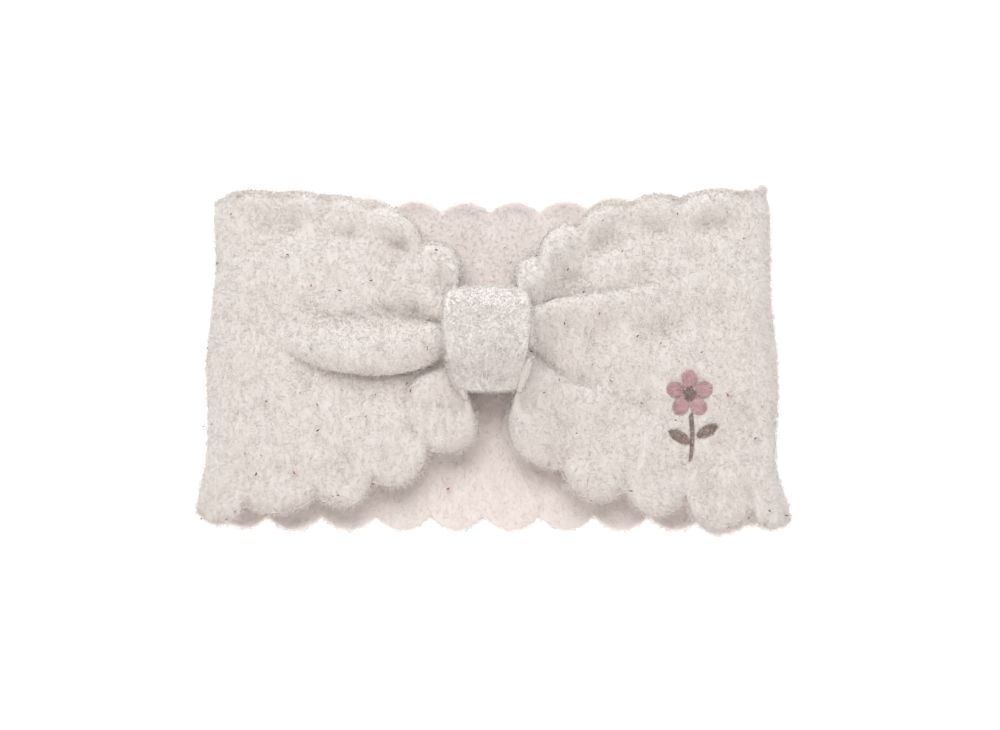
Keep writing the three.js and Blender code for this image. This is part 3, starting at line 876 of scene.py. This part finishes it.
THREAD_SIDES = 6
PETAL_THREAD, MIDDLE_THREAD, STEM_THREAD = 0.27, 0.22, 0.25  # radii
STITCH_PITCH = 0.5  # from one satin stitch to the next
PETAL_RISE, LEAF_RISE = 0.55, 0.45  # how far satin stitches dome up
FLOWER_LIFT = 0.25  # from the knit to the middle of the lowest thread
OUTLINE_POINTS = 28  # round a petal or a leaf
CURL_RADIUS = 0.36  # of the flower middle's small knots
STEM_SLANT = np.array([0.75, 0.95])  # half of one of the stem's slanting stitches


def thread_tree(material):
    """Turns lines into round threads with closed ends."""
    tree, given, result = node_tree("Threads", [
        ("Radius", "NodeSocketFloat", 0.0003),
        ("Sides", "NodeSocketInt", THREAD_SIDES),
    ])
    curve = tree.nodes.new("GeometryNodeMeshToCurve")
    circle = tree.nodes.new("GeometryNodeCurvePrimitiveCircle")
    tube = tree.nodes.new("GeometryNodeCurveToMesh")
    tube.inputs["Fill Caps"].default_value = True
    link = tree.links.new
    link(given.outputs["Geometry"], curve.inputs[0])
    link(given.outputs["Sides"], circle.inputs["Resolution"])
    link(given.outputs["Radius"], circle.inputs["Radius"])
    link(curve.outputs[0], tube.inputs["Curve"])
    link(circle.outputs[0], tube.inputs["Profile Curve"])
    finish_tree(tree, tube.outputs[0], material, result)
    return tree


def threads(name, lines, radius, material):
    """Round threads along lines of points in millimetres, as one piece."""
    points, edges = [], []
    for line in lines:
        start = len(points)
        points.extend(np.asarray(line).tolist())
        edges.extend((k, k + 1) for k in range(start, len(points) - 1))
    mesh = bpy.data.meshes.new(name + "_lines")
    mesh.from_pydata((np.array(points) * MM).tolist(), edges, [])
    source = bpy.data.objects.new(name + "_lines", mesh)
    bpy.context.scene.collection.objects.link(source)
    values = {"Radius": radius * MM, "Sides": THREAD_SIDES}
    made = run_tree(source, thread_tree(material), values, name)
    bpy.data.objects.remove(source)
    return made


def satin(outline, along, rise, random):
    """Satin stitches that fill an outline: side by side lines, domed, with uneven ends."""
    outline = np.asarray(outline, float)
    along = np.asarray(along, float) / np.linalg.norm(along)
    across = np.array([-along[1], along[0]])
    centre = outline.mean(0)
    a, b = (outline - centre) @ along, (outline - centre) @ across
    lines = []
    first, last = b.min() + 0.45 * STITCH_PITCH, b.max() - 0.3 * STITCH_PITCH
    for place in np.arange(first, last, STITCH_PITCH):
        crossings = []
        for k in range(len(b)):
            n = (k + 1) % len(b)
            if (b[k] - place) * (b[n] - place) < 0:
                crossings.append(a[k] + (a[n] - a[k]) * (place - b[k]) / (b[n] - b[k]))
        if len(crossings) < 2:
            continue
        low, high = min(crossings), max(crossings)
        low -= random.uniform(-0.15, 0.25)
        high += random.uniform(-0.15, 0.25)
        t = np.linspace(0, 1, 7)
        side = place + random.uniform(-0.06, 0.06) + 0.07 * np.sin(t * 5 + place)
        flat = centre + np.outer(mix(low, high, t), along) + np.outer(side, across)
        swell = rise * np.sqrt(np.clip(1 - (2 * t - 1) ** 4, 0, 1))
        width = (b.max() - b.min()) / 2
        swell = swell * (0.6 + 0.4 * (1 - ((place - (b.max() + b.min()) / 2) / width) ** 2))
        lines.append(np.column_stack([flat, swell + random.uniform(0, 0.06)]))
    return lines


def laid_on(lines, tree, base):
    """Lowers lines onto a surface. Their own heights count from base above it."""
    laid = []
    for line in lines:
        line = np.array(line, float)
        for point in line:
            point[2] += height_at(tree, point[0], point[1]) + base
        laid.append(line)
    return laid


def ground_object(name, grid, cover, flip=False):
    """A bare surface for fibres to grow from, with how thickly each of its points is covered."""
    columns, rows = grid.shape[:2]
    number = np.arange(columns * rows).reshape(columns, rows)
    number = np.vstack([number, number[:1]])
    a, b, c, d = number[:-1, :-1], number[1:, :-1], number[1:, 1:], number[:-1, 1:]
    order = [a, d, c, b] if flip else [a, b, c, d]
    faces = np.stack(order, -1).reshape(-1, 4)
    mesh = bpy.data.meshes.new(name)
    mesh.from_pydata((grid.reshape(-1, 3) * MM).tolist(), [], faces.tolist())
    mesh.attributes.new("cover", "FLOAT", "POINT")
    made = bpy.data.objects.new(name, mesh)
    bpy.context.scene.collection.objects.link(made)
    set_cover(made, cover)
    return made


def set_cover(ground, cover):
    """Says how thickly each point of a ground object is covered, with 1 as the usual."""
    values = np.ascontiguousarray(cover.ravel(), np.float32)
    ground.data.attributes["cover"].data.foreach_set("value", values)
    ground.data.update()


def covered_area(ground):
    """Area of a ground object, each part counted by its cover, in square metres."""
    mesh = ground.data
    cover = np.empty(len(mesh.vertices), np.float32)
    mesh.attributes["cover"].data.foreach_get("value", cover)
    corners_of = np.empty(len(mesh.loops), np.int32)
    mesh.loops.foreach_get("vertex_index", corners_of)
    areas = np.empty(len(mesh.polygons), np.float32)
    mesh.polygons.foreach_get("area", areas)
    return float((areas * cover[corners_of].reshape(-1, 4).mean(1)).sum())


def grow(ground, fibres, name, colour, count, length, lean, seed, clear_of=None, clearance=0.5):
    """Grows about count fibres on a ground, as one piece of one colour. Length is a factor, and
    lean the least and most angle from upright. None grows nearer than clearance to clear_of."""
    material = plain_fibre(name, colour)
    tree = scatter_tree(fibres, material, clear_of)
    values = {"Density": count / covered_area(ground), "Length": length,
              "Least lean": lean[0], "Most lean": lean[1], "Seed": seed,
              "Clearance": clearance * MM}
    return run_tree(ground, tree, values, name)


def fibre_collection(name, length, radius, bend, kinds, seed):
    """Short bent fibres: three-sided, closed at both ends, twelve triangles each."""
    random = np.random.default_rng(seed)
    collection = bpy.data.collections.new(name)
    for kind in range(kinds):
        heading, spine = 0.0, [np.zeros(3)]
        plane = random.uniform(0, 2 * math.pi)
        for _ in range(3):
            heading += random.uniform(-bend, bend)
            plane += random.uniform(-0.7, 0.7)
            step = np.array([math.sin(heading) * math.cos(plane),
                             math.sin(heading) * math.sin(plane), math.cos(heading)])
            spine.append(spine[-1] + step * length / 3)
        ring = [np.array([math.cos(a), math.sin(a), 0]) * radius
                for a in (0, 2 * math.pi / 3, 4 * math.pi / 3)]
        points = [spine[0]] + [spine[1] + r for r in ring] + [spine[2] + r * 0.8 for r in ring]
        points.append(spine[3])
        faces = [(0, 2, 1), (0, 3, 2), (0, 1, 3), (7, 4, 5), (7, 5, 6), (7, 6, 4)]
        for k in range(3):
            n = (k + 1) % 3
            faces.append((1 + k, 1 + n, 4 + n))
            faces.append((1 + k, 4 + n, 4 + k))
        mesh = bpy.data.meshes.new(f"{name}_{kind}")
        mesh.from_pydata((np.array(points) * MM).tolist(), [], faces)
        collection.objects.link(bpy.data.objects.new(f"{name}_{kind}", mesh))
    return collection


def drop_collection(collection):
    """Removes a collection and all that is in it."""
    for member in list(collection.objects):
        mesh = member.data
        bpy.data.objects.remove(member)
        bpy.data.meshes.remove(mesh)
    bpy.data.collections.remove(collection)


# ---------------------------------------------------------------- stitch layouts, and baking a piece's placement

def petal_stitches(centre, settings, random):
    """Satin stitches of the five petals, each pointing away from the flower's middle."""
    turn = np.linspace(0, 2 * math.pi, OUTLINE_POINTS, endpoint=False)
    petals = []
    for k in range(1, 6):
        low, high = node_box(f"petal_{k}")
        middle = ((low + high) / 2)[:2]
        out = (middle - centre) / np.linalg.norm(middle - centre)
        side = np.array([-out[1], out[0]])
        outline = (middle + np.outer(np.cos(turn) * settings.petal_length / MM / 2, out)
                   + np.outer(np.sin(turn) * settings.petal_width / MM / 2, side))
        petals += satin(outline, out, PETAL_RISE, random)
    return petals


def middle_knots(centre, radius):
    """Small curls of thread in three rings that fill the flower's middle."""
    knots = []
    for ring, count in ((0.0, 1), (0.5, 6), (0.95, 11)):
        for k in range(count):
            angle = 2 * math.pi * k / count + ring
            spot = centre + radius * ring * np.array([math.cos(angle), math.sin(angle)])
            t = np.linspace(0, 2 * math.pi * 1.4, 9)
            knots.append(np.column_stack([spot[0] + CURL_RADIUS * np.cos(t + angle),
                                          spot[1] + CURL_RADIUS * np.sin(t + angle),
                                          0.35 + 0.05 * t + 0.25 * (1 - ring)]))
    return knots


def stem_stitches(random):
    """Short slanting stitches along a slightly bowed stem."""
    low, high = node_box("stem")
    t = np.linspace(0, 1, 30)
    bow = (low[0] + high[0]) / 2 + 0.7 * np.sin(math.pi * t) - 0.35
    spine = np.column_stack([bow, mix(low[1], high[1] + 1.2, t)])
    s = np.linspace(0, 1, 5)[:, None]
    lift = 0.4 * np.sqrt(np.clip(1 - (2 * s - 1) ** 2, 0, 1))
    return [np.hstack([mix(point - STEM_SLANT, point + STEM_SLANT, s),
                       lift + random.uniform(0, 0.05)]) for point in spine]


def leaf_stitches(settings, random):
    """Satin stitches of the two leaves, which point up and away from the stem."""
    turn = np.linspace(0, 2 * math.pi, OUTLINE_POINTS, endpoint=False)
    leaves = []
    for name, way in (("leaf_left", -1), ("leaf_right", 1)):
        low, high = node_box(name)
        middle = ((low + high) / 2)[:2]
        out = np.array([way * 0.86, 0.5])
        side = np.array([-out[1], out[0]])
        reach = np.linalg.norm((high - low)[:2]) / 2
        taper = np.sin(turn) * np.abs(np.sin(turn)) ** 0.5 * settings.leaf_width / MM / 2
        outline = middle + np.outer(np.cos(turn) * reach, out) + np.outer(taper, side)
        leaves += satin(outline, out * 0.5 + side, LEAF_RISE, random)
    return leaves


def bend_with_loop(piece):
    """Bakes a piece's placement into its mesh. It is attached to neither body, so it does not
    follow the loop as it opens.
    """
    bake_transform(piece)


# ---------------------------------------------------------------- settings

def colour_setting(name, description, default):
    """A setting that holds one colour."""
    return FloatVectorProperty(name=name, description=description, subtype="COLOR",
                               default=default, min=0, max=1)


class BandSettings(bpy.types.PropertyGroup):
    # light and shade are the two ends of the knit's random mottle; both are a little darker than
    # most fibres, as painted shade between them
    light: colour_setting("Light", "Colour of the knit's raised parts", (0.82, 0.77, 0.735))
    shade: colour_setting("Shade", "Colour between the fibres", (0.76, 0.70, 0.66))
    # the knot's knit is painted lighter than the band's same knit, as painted light that offsets
    # the shade its dense fibres cast
    knot_painted_light: colour_setting(
        "Knot light", "Colour of the knot's raised parts", (0.92, 0.875, 0.845))
    # the knit inside the loop is painted lighter and pinker than outside: painted bounce light in
    # the shade under the wings and the knot
    inner_light_painted_bounce: colour_setting(
        "Inner light", "Colour of the raised parts inside the loop", (0.89, 0.815, 0.78))
    inner_shade_painted_bounce: colour_setting(
        "Inner shade", "Colour between the fibres inside the loop", (0.82, 0.735, 0.695))


class PileSettings(bpy.types.PropertyGroup):
    length: FloatProperty(
        name="Fibre length", description="Length of a pile fibre", default=2.9 * MM, unit="LENGTH")
    radius: FloatProperty(
        name="Fibre radius", description="Radius of a pile fibre", default=0.08 * MM,
        unit="LENGTH", precision=6)
    amount: FloatProperty(
        name="Amount", description="How thickly the fibres grow, with 1 as designed",
        default=1.0, min=0, max=1)
    cream: colour_setting("Cream", "Colour of most fibres", (0.87, 0.82, 0.79))
    # outside, bright fibres gather on raised knit as painted highlight, and blush and shadow fibres
    # in its dips as painted shade
    bright: colour_setting("Bright", "Colour of the palest fibres", (0.92, 0.885, 0.865))
    blush: colour_setting("Blush", "Colour of the pinker fibres", (0.83, 0.765, 0.725))
    shadow: colour_setting("Shadow", "Colour of the few darker fibres", (0.68, 0.61, 0.57))
    # the pinker inside fibres are painted bounce light
    inner: colour_setting(
        "Inner", "Colour of the pinker fibres inside the loop", (0.87, 0.79, 0.755))
    nep_brown: colour_setting("Brown nep", "Colour of most tufts", (0.15, 0.09, 0.085))
    nep_plum: colour_setting("Plum nep", "Colour of some tufts", (0.25, 0.09, 0.12))
    nep_red: colour_setting("Red nep", "Colour of a few tufts", (0.5, 0.12, 0.16))


class ThreadSettings(bpy.types.PropertyGroup):
    petal_length: FloatProperty(
        name="Petal length", description="From the flower's middle outwards", default=7.2 * MM,
        unit="LENGTH")
    petal_width: FloatProperty(
        name="Petal width", description="Across a petal", default=6.4 * MM, unit="LENGTH")
    leaf_width: FloatProperty(
        name="Leaf width", description="Across a leaf", default=4.4 * MM, unit="LENGTH")
    rose: colour_setting("Rose", "Petal thread", (0.62, 0.40, 0.41))
    rose_shade: colour_setting(
        "Rose shade", "Petal thread in its darker places", (0.47, 0.28, 0.29))
    taupe: colour_setting("Taupe", "Stem, leaf and flower middle thread", (0.36, 0.27, 0.235))
    taupe_shade: colour_setting(
        "Taupe shade", "The same thread in its darker places", (0.22, 0.155, 0.135))
    sewing: colour_setting("Sewing", "Sewing thread", (0.78, 0.72, 0.68))
    sewing_shade: colour_setting(
        "Sewing shade", "Sewing thread in its darker places", (0.64, 0.57, 0.53))


class StageSettings(bpy.types.PropertyGroup):
    lens: FloatProperty(name="Lens", description="Focal length in millimetres", default=100.0)
    view_width: FloatProperty(
        name="View width", description="Width of the view at the headband", default=0.413,
        unit="LENGTH")
    key_power: FloatProperty(name="Key light", description="Power in watts", default=11.8)
    fill_power: FloatProperty(name="Fill light", description="Power in watts", default=6.0)
    floor_glow: FloatProperty(
        name="Floor glow", description="Light through the white floor", default=0.42)
    sky: FloatProperty(name="Sky", description="Strength of the even light", default=0.385)


# ---------------------------------------------------------------- operators

VIEW_CENTRE = (0.0023, -0.0031)  # metres, like the lamps' sizes and places
FLOOR_HALF = 3.0
FLOOR_Z = -0.0002


def area_light(name, power, size, place, colour):
    """A soft rectangular lamp that points at the headband's middle."""
    light = bpy.data.lights.new(name, "AREA")
    light.shape = "RECTANGLE"
    light.size, light.size_y = size
    light.energy = power
    light.color = colour
    lamp = bpy.data.objects.new(name, light)
    lamp.location = place
    lamp.rotation_euler = (Vector((0, 0, 0)) - lamp.location).to_track_quat("-Z", "Y").to_euler()
    bpy.context.scene.collection.objects.link(lamp)


class HEADBAND_OT_stage(bpy.types.Operator):
    """Camera straight above, soft light from the upper edge's side, and a white floor"""
    bl_idname = "headband.stage"
    bl_label = "Stage"

    def execute(self, context):
        settings = context.scene.headband_stage
        camera = bpy.data.cameras.new("camera")
        camera.lens = settings.lens
        camera.sensor_width = 36.0
        camera.clip_start, camera.clip_end = 0.01, 20
        distance = settings.view_width * settings.lens / camera.sensor_width
        view = bpy.data.objects.new("camera", camera)
        view.location = (*VIEW_CENTRE, distance + FRONT_Z * MM)
        context.scene.collection.objects.link(view)
        context.scene.camera = view

        area_light("key", settings.key_power, (1.2, 0.7), (-0.1, 0.78, 0.8), (1.0, 1.0, 1.0))
        area_light("fill", settings.fill_power, (1.4, 0.4), (0.0, -0.9, 0.42), (1.0, 0.93, 0.9))

        world = bpy.data.worlds.new("even_light")
        world.use_nodes = True
        world.node_tree.nodes["Background"].inputs["Color"].default_value = (1, 1, 1, 1)
        world.node_tree.nodes["Background"].inputs["Strength"].default_value = settings.sky
        context.scene.world = world

        corners = [(x * FLOOR_HALF, y * FLOOR_HALF, FLOOR_Z)
                   for x, y in ((-1, -1), (1, -1), (1, 1), (-1, 1))]
        mesh = bpy.data.meshes.new("floor")
        mesh.from_pydata(corners, [], [(0, 1, 2, 3)])
        floor = bpy.data.objects.new("floor", mesh)
        context.scene.collection.objects.link(floor)
        material, _, shader, _ = mottled(
            "white_floor", 0.9, 0.0, (3, 2, 0.5),
            [(0.3, (0.97, 0.97, 0.97)), (0.7, (0.98, 0.98, 0.98))])
        shader.inputs["Emission Color"].default_value = (1, 1, 1, 1)
        shader.inputs["Emission Strength"].default_value = settings.floor_glow
        mesh.materials.append(material)
        context.scene.view_settings.view_transform = "Standard"
        context.scene.view_settings.look = "None"
        return {"FINISHED"}


class HEADBAND_OT_band(bpy.types.Operator):
    """One strip of knit with scalloped edges, right round the loop and through the knot"""
    bl_idname = "headband.band"
    bl_label = "Band of knit"

    def execute(self, context):
        settings = context.scene.headband_band
        grid, _, half = band_faces()
        points, faces = thick_sheet(grid, half, wrap=True)
        material = brushed_knit("brushed_knit", settings.light, settings.shade)
        band = mesh_object("band_knit", points, faces, material)
        # a lighter, pinker copy of the knit, as painted bounce light
        inside = brushed_knit("brushed_knit_painted_bounce", settings.inner_light_painted_bounce, settings.inner_shade_painted_bounce)
        band.data.materials.append(inside)
        outer_faces = grid.shape[0] * (grid.shape[1] - 1)
        slots = np.zeros(len(faces), np.int32)
        # the painted bounce light goes on the inner faces that lie low, under the wings and the
        # knot
        under = grid[:, :-1, 2].ravel() < FRONT_Z - KNIT_DEPTH / 2
        slots[outer_faces:2 * outer_faces] = under
        band.data.polygons.foreach_set("material_index", slots)
        bend_with_loop(band)
        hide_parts("back_panel", "side_turn_left", "side_turn_right",
                    "front_wing_left", "front_wing_right", "front_gather")
        return {"FINISHED"}


class HEADBAND_OT_knot(bpy.types.Operator):
    """A ring of the same knit that gathers the two wings at the middle"""
    bl_idname = "headband.knot"
    bl_label = "Knot"

    def execute(self, context):
        settings = context.scene.headband_band
        grid = knot_middle()
        points, faces = thick_sheet(grid, knot_half(), wrap=True)
        # a lighter copy of the band's knit: painted light on the knot
        material = jersey_knit("knot_knit", settings.knot_painted_light, settings.light)
        knot = mesh_object("knot_ring", points, faces, material)
        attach(knot, "front")
        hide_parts("knot_loop")
        return {"FINISHED"}


class HEADBAND_OT_flower(bpy.types.Operator):
    """A flower in satin stitch on the right wing, with its backing under the knit"""
    bl_idname = "headband.flower"
    bl_label = "Embroidered flower"

    def execute(self, context):
        settings = context.scene.headband_thread
        random = np.random.default_rng(71)
        grid, normal, half = band_faces()
        top = surface_above(grid + normal * half[..., None])
        centre_low, centre_high = node_box("flower_centre")
        centre = ((centre_low + centre_high) / 2)[:2]

        petals = petal_stitches(centre, settings, random)
        rose = embroidery_thread("rose_thread", settings.rose, settings.rose_shade)
        piece = threads("flower_petals", laid_on(petals, top, FLOWER_LIFT), PETAL_THREAD, rose)
        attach(piece, "front")
        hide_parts("petal_1", "petal_2", "petal_3", "petal_4", "petal_5")

        knots = middle_knots(centre, (centre_high - centre_low)[0] / 2)
        taupe = embroidery_thread("taupe_thread", settings.taupe, settings.taupe_shade)
        piece = threads("flower_middle", laid_on(knots, top, FLOWER_LIFT), MIDDLE_THREAD, taupe)
        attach(piece, "front")
        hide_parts("flower_centre")

        stem = stem_stitches(random)
        leaves = leaf_stitches(settings, random)
        piece = threads("flower_stem", laid_on(stem + leaves, top, FLOWER_LIFT), STEM_THREAD, taupe)
        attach(piece, "front")
        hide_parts("stem", "leaf_left", "leaf_right")

        low, high = node_box("motif_backing")
        under = surface_above(grid - normal * half[..., None])
        patch = small_sheet(low, high, 27, 40, corner=3.0)
        for point in patch.reshape(-1, 3):
            point[2] = underside_at(under, point[0], point[1]) - 0.3
        points, faces = thick_sheet(patch, np.full(patch.shape[:2], 0.15), wrap=False)
        backing = mesh_object("flower_backing", points, faces, non_woven("backing"))
        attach(backing, "front")
        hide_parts("motif_backing")
        return {"FINISHED"}


class HEADBAND_OT_label(bpy.types.Operator):
    """A blank woven label, sewn to the inside of the back panel at both ends"""
    bl_idname = "headband.label"
    bl_label = "Blank label"

    def execute(self, context):
        low, high = node_box("care_label")
        grid = small_sheet(low, high, 22, 30, corner=0.4)
        x, y = grid[..., 0], grid[..., 1]
        grid[..., 2] += 0.22 * np.sin(x / 2.6 + 0.7) * np.cos(y / 6.5) - 0.15
        points, faces = thick_sheet(grid, np.full(grid.shape[:2], 0.14), wrap=False)
        ribbon = woven_ribbon("label_ribbon", (0.8, 0.77, 0.74), (0.7, 0.66, 0.63))
        label = mesh_object("care_label_ribbon", points, faces, ribbon)
        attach(label, "back")
        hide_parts("care_label")
        return {"FINISHED"}


ZIGZAG_STEP = 1.9  # along the side seam, from one corner of its zigzag to the next


class HEADBAND_OT_seams(bpy.types.Operator):
    """Zigzag and straight stitches: the side seam, the label, and the knot's closing seam"""
    bl_idname = "headband.seams"
    bl_label = "Seams"

    def execute(self, context):
        settings = context.scene.headband_thread
        random = np.random.default_rng(83)
        sewing = embroidery_thread("sewing_thread", settings.sewing, settings.sewing_shade)
        grid, normal, half = band_faces()
        inner = grid - normal * half[..., None]
        back = surface_above(inner[WING_COLUMNS + TURN_COLUMNS - 4:][:BACK_COLUMNS + 8])

        low, high = node_box("side_seam_stitches")
        upper_reach = flat_half_width(high[1]) - low[0]
        lower_reach = flat_half_width(low[1]) - high[0]
        inward, swing = (upper_reach + lower_reach) / 2, (upper_reach - lower_reach) / 2
        line = []
        for k, y in enumerate(np.arange(low[1], high[1], ZIGZAG_STEP)):
            out = swing if k % 2 else -swing
            x = flat_half_width(y) - inward + out + random.uniform(-0.12, 0.12)
            line.append((x, y, 0.0))
        zigzag = sewn_line(line, lambda x, y: height_at(back, x, y) + 0.2, 5, 0.5)
        piece = threads("side_seam_thread", [zigzag], 0.24, sewing)
        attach(piece, "back")
        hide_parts("side_seam_stitches")

        low, high = node_box("label_stitches")
        label_high = node_box("care_label")[1]
        middle = (low[0] + high[0]) / 2
        dashes = []
        for k, y in enumerate(np.arange(low[1], high[1] - 1.0, 1.45)):
            t = np.linspace(0, 1, 6)
            x = middle + 0.25 * (-1) ** k + 0 * t
            dashes.append(np.column_stack([x, y + 1.15 * t,
                                           label_high[2] + 0.06 + 0.16 * np.sin(math.pi * t)]))
        piece = threads("label_thread", dashes, 0.15, sewing)
        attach(piece, "back")
        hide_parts("label_stitches")

        low, high = node_box("knot_seam_stitches")
        line = []
        for k, x in enumerate(np.arange(low[0], high[0], 1.7)):
            line.append((x, high[1] - 0.4 if k % 2 else low[1] + 0.4, 0.0))
        level = high[2] + 0.1
        zigzag = sewn_line(line, lambda x, y: level, 5, -0.3)
        piece = threads("knot_seam_thread", [zigzag], 0.24, sewing)
        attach(piece, "front")
        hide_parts("knot_seam_stitches")

        gather = bpy.data.objects[frame["nodes"]["gather_thread"].name]
        gather.data.materials.clear()
        gather.data.materials.append(sewing)
        return {"FINISHED"}


# how many fibres the pile's pieces have
OUTER_FIBRES, SHADOW_FIBRES = 16000, 3500
INNER_FIBRES, RIM_FIBRES = 16000, 15000
KNOT_BRIGHT_FIBRES, KNOT_CREAM_FIBRES, KNOT_BLUSH_FIBRES = 5500, 3500, 800
PILE_LEAN, RIM_LEAN, KNOT_LEAN = (0.75, 1.45), (0.3, 1.5), (0.95, 1.5)
NEP_LEAN = (1.2, 1.6)
SHORTER = 0.85  # the length of the fibres inside the loop and on its rims, as a factor
ROOT_DEPTH = 0.15  # how far inside the knit the fibres begin


class HEADBAND_OT_pile(bpy.types.Operator):
    """The brushed pile: short bent fibres over the knit, its rims and the knot"""
    bl_idname = "headband.pile"
    bl_label = "Brushed pile"

    def execute(self, context):
        settings = context.scene.headband_pile
        grid, normal, half = band_faces()
        columns, rows = grid.shape[:2]
        length, radius = settings.length / MM, settings.radius / MM
        fibres = fibre_collection("pile_fibre", length, radius, 0.75, 12, 5)
        share = settings.amount * 1.0

        x, y, z = grid[..., 0], grid[..., 1], grid[..., 2]
        in_knot = ((np.abs(x - KNOT_MIDDLE[0]) < KNOT_SIZE[0] / 2 - 10) & (z > KNOT_LOW[2])
                   & (y > KNOT_LOW[1] + 3) & (y < KNOT_HIGH[1] - 3))
        facing = normal[..., 2]
        outer_cover = np.where(facing > -0.35, 1.0, 0.22)
        outer_cover[in_knot] = 0.0
        outer = ground_object("outer", grid + normal * (half - ROOT_DEPTH)[..., None],
                              outer_cover)
        flower = bpy.data.objects["flower_petals"]
        # painted highlight and shade: the palest fibres grow thickest on raised knit, and the
        # pinker and the darker fibres in its dips
        relief = z - relax(grid, 90)[..., 2]
        raised, painted_shade = smooth(relief, -0.3, 1.1), smooth(-relief, -0.3, 1.1)
        even = np.ones_like(relief)
        for k, (tint, count, where, seed) in enumerate((
                (settings.cream, OUTER_FIBRES, even, 101),
                (settings.cream, OUTER_FIBRES, even, 102),
                (settings.bright, OUTER_FIBRES, 0.35 + 1.5 * raised, 103),
                (settings.blush, OUTER_FIBRES, 0.35 + 1.5 * painted_shade, 104),
                (settings.shadow, SHADOW_FIBRES, 0.3 + 1.7 * painted_shade, 105))):
            set_cover(outer, outer_cover * where)
            piece = grow(outer, fibres, f"pile_outer_{k + 1}", tint, share * count, 1.0,
                         PILE_LEAN, seed, clear_of=flower, clearance=0.4)
            bend_with_loop(piece)

        seen = (z < KNIT_DEPTH) & ((np.abs(x) < 52) | (y < -50) | ((y > 52) & (np.abs(x) < 70)))
        rolled = (z > KNIT_DEPTH) & (facing < 0.1)
        inner_cover = np.where(rolled, 2.5, np.where(seen, 1.0, 0.12))
        inner_cover[in_knot] = 0.0
        inner = ground_object("inner", grid - normal * (half - ROOT_DEPTH)[..., None],
                              inner_cover, flip=True)
        # half the inside pile is pinker, as painted bounce light
        for k, (tint, seed) in enumerate(((settings.cream, 111), (settings.inner, 112))):
            piece = grow(inner, fibres, f"pile_inner_{k + 1}", tint, share * INNER_FIBRES,
                         SHORTER, PILE_LEAN, seed)
            bend_with_loop(piece)

        rims = np.zeros((columns, rows))
        rims[:, :4] = rims[:, -4:] = 1.0
        edge = ground_object("edge", grid + normal * half[..., None], rims)
        piece = grow(edge, fibres, "pile_rims", settings.cream, share * RIM_FIBRES, SHORTER,
                     RIM_LEAN, 121)
        bend_with_loop(piece)

        ring = knot_middle()
        ring_normal = grid_normals(ring, wrap=True)
        cover = np.where(ring_normal[..., 2] > -0.5, 1.0, 0.2)
        surface = ground_object("ring", ring + ring_normal * (knot_half() - 0.1)[..., None], cover)
        short = fibre_collection("knot_fibre", length * 0.75, radius, 0.75, 10, 6)
        # mostly the palest fibres and no darker ones, as painted light on the knot
        for k, (tint, count, seed) in enumerate((
                (settings.bright, KNOT_BRIGHT_FIBRES, 131),
                (settings.cream, KNOT_CREAM_FIBRES, 132),
                (settings.blush, KNOT_BLUSH_FIBRES, 133))):
            piece = grow(surface, short, f"pile_knot_{k + 1}", tint, share * count, 1.0,
                         KNOT_LEAN, seed)
            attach(piece, "front")

        for ground in (outer, inner, edge, surface):
            bpy.data.objects.remove(ground)
        drop_collection(fibres)
        drop_collection(short)
        return {"FINISHED"}


class HEADBAND_OT_neps(bpy.types.Operator):
    """Small coloured tufts caught in the pile here and there"""
    bl_idname = "headband.neps"
    bl_label = "Coloured neps"

    def execute(self, context):
        settings = context.scene.headband_pile
        grid, normal, half = band_faces()
        cover = np.where(normal[..., 2] > 0.3, 1.0, 0.1)
        cover[np.abs(grid[..., 0] - KNOT_MIDDLE[0]) < 13] = 0
        outer = ground_object("outer", grid + normal * (half + 1.5)[..., None], cover)
        cover = np.where((np.abs(grid[..., 0]) < 60) & (grid[..., 2] < KNIT_DEPTH), 1.0, 0.0)
        inner = ground_object("inner", grid - normal * (half + 1.0)[..., None], cover, flip=True)
        flower = bpy.data.objects["flower_petals"]
        tufts = fibre_collection("nep_tuft", 1.9, 0.4, 1.1, 5, 9)
        for name, colour, count, seed in (("nep_brown", settings.nep_brown, 60, 142),
                                          ("nep_plum", settings.nep_plum, 26, 143),
                                          ("nep_red", settings.nep_red, 7, 147)):
            piece = grow(outer, tufts, name, colour, count, 1.0, NEP_LEAN, seed,
                         clear_of=flower, clearance=1.5)
            bend_with_loop(piece)
        piece = grow(inner, tufts, "nep_inner", settings.nep_red, 6, 1.0, NEP_LEAN, 152)
        bend_with_loop(piece)
        for ground in (outer, inner):
            bpy.data.objects.remove(ground)
        drop_collection(tufts)
        return {"FINISHED"}


PARTS = (HEADBAND_OT_stage, HEADBAND_OT_band, HEADBAND_OT_knot, HEADBAND_OT_flower,
         HEADBAND_OT_label, HEADBAND_OT_seams, HEADBAND_OT_pile, HEADBAND_OT_neps)


class HEADBAND_PT_parts(bpy.types.Panel):
    """Lists the steps that build the headband"""
    bl_idname = "HEADBAND_PT_parts"
    bl_label = "Headband"
    bl_space_type = "VIEW_3D"
    bl_region_type = "UI"
    bl_category = "Headband"

    def draw(self, context):
        for part in PARTS:
            self.layout.operator(part.bl_idname)


SETTINGS = {
    "headband_band": BandSettings,
    "headband_pile": PileSettings,
    "headband_thread": ThreadSettings,
    "headband_stage": StageSettings,
}


def register():
    """Makes the settings, the steps and the panel known to Blender."""
    for group in (*SETTINGS.values(), *PARTS, HEADBAND_PT_parts):
        bpy.utils.register_class(group)
    for name, group in SETTINGS.items():
        setattr(bpy.types.Scene, name, PointerProperty(type=group))


def unregister():
    """Takes the settings, the steps and the panel away again."""
    for name in SETTINGS:
        delattr(bpy.types.Scene, name)
    for group in (HEADBAND_PT_parts, *reversed(PARTS), *reversed(SETTINGS.values())):
        bpy.utils.unregister_class(group)


def corners(box):
    """A box's two corners as plain numbers."""
    return [[float(value) for value in corner] for corner in box]


def main():
    """Runs every step in order."""
    register()
    for part in PARTS:
        group, step = part.bl_idname.split(".")
        getattr(getattr(bpy.ops, group), step)()
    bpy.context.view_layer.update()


if __name__ == "__main__":
    main()
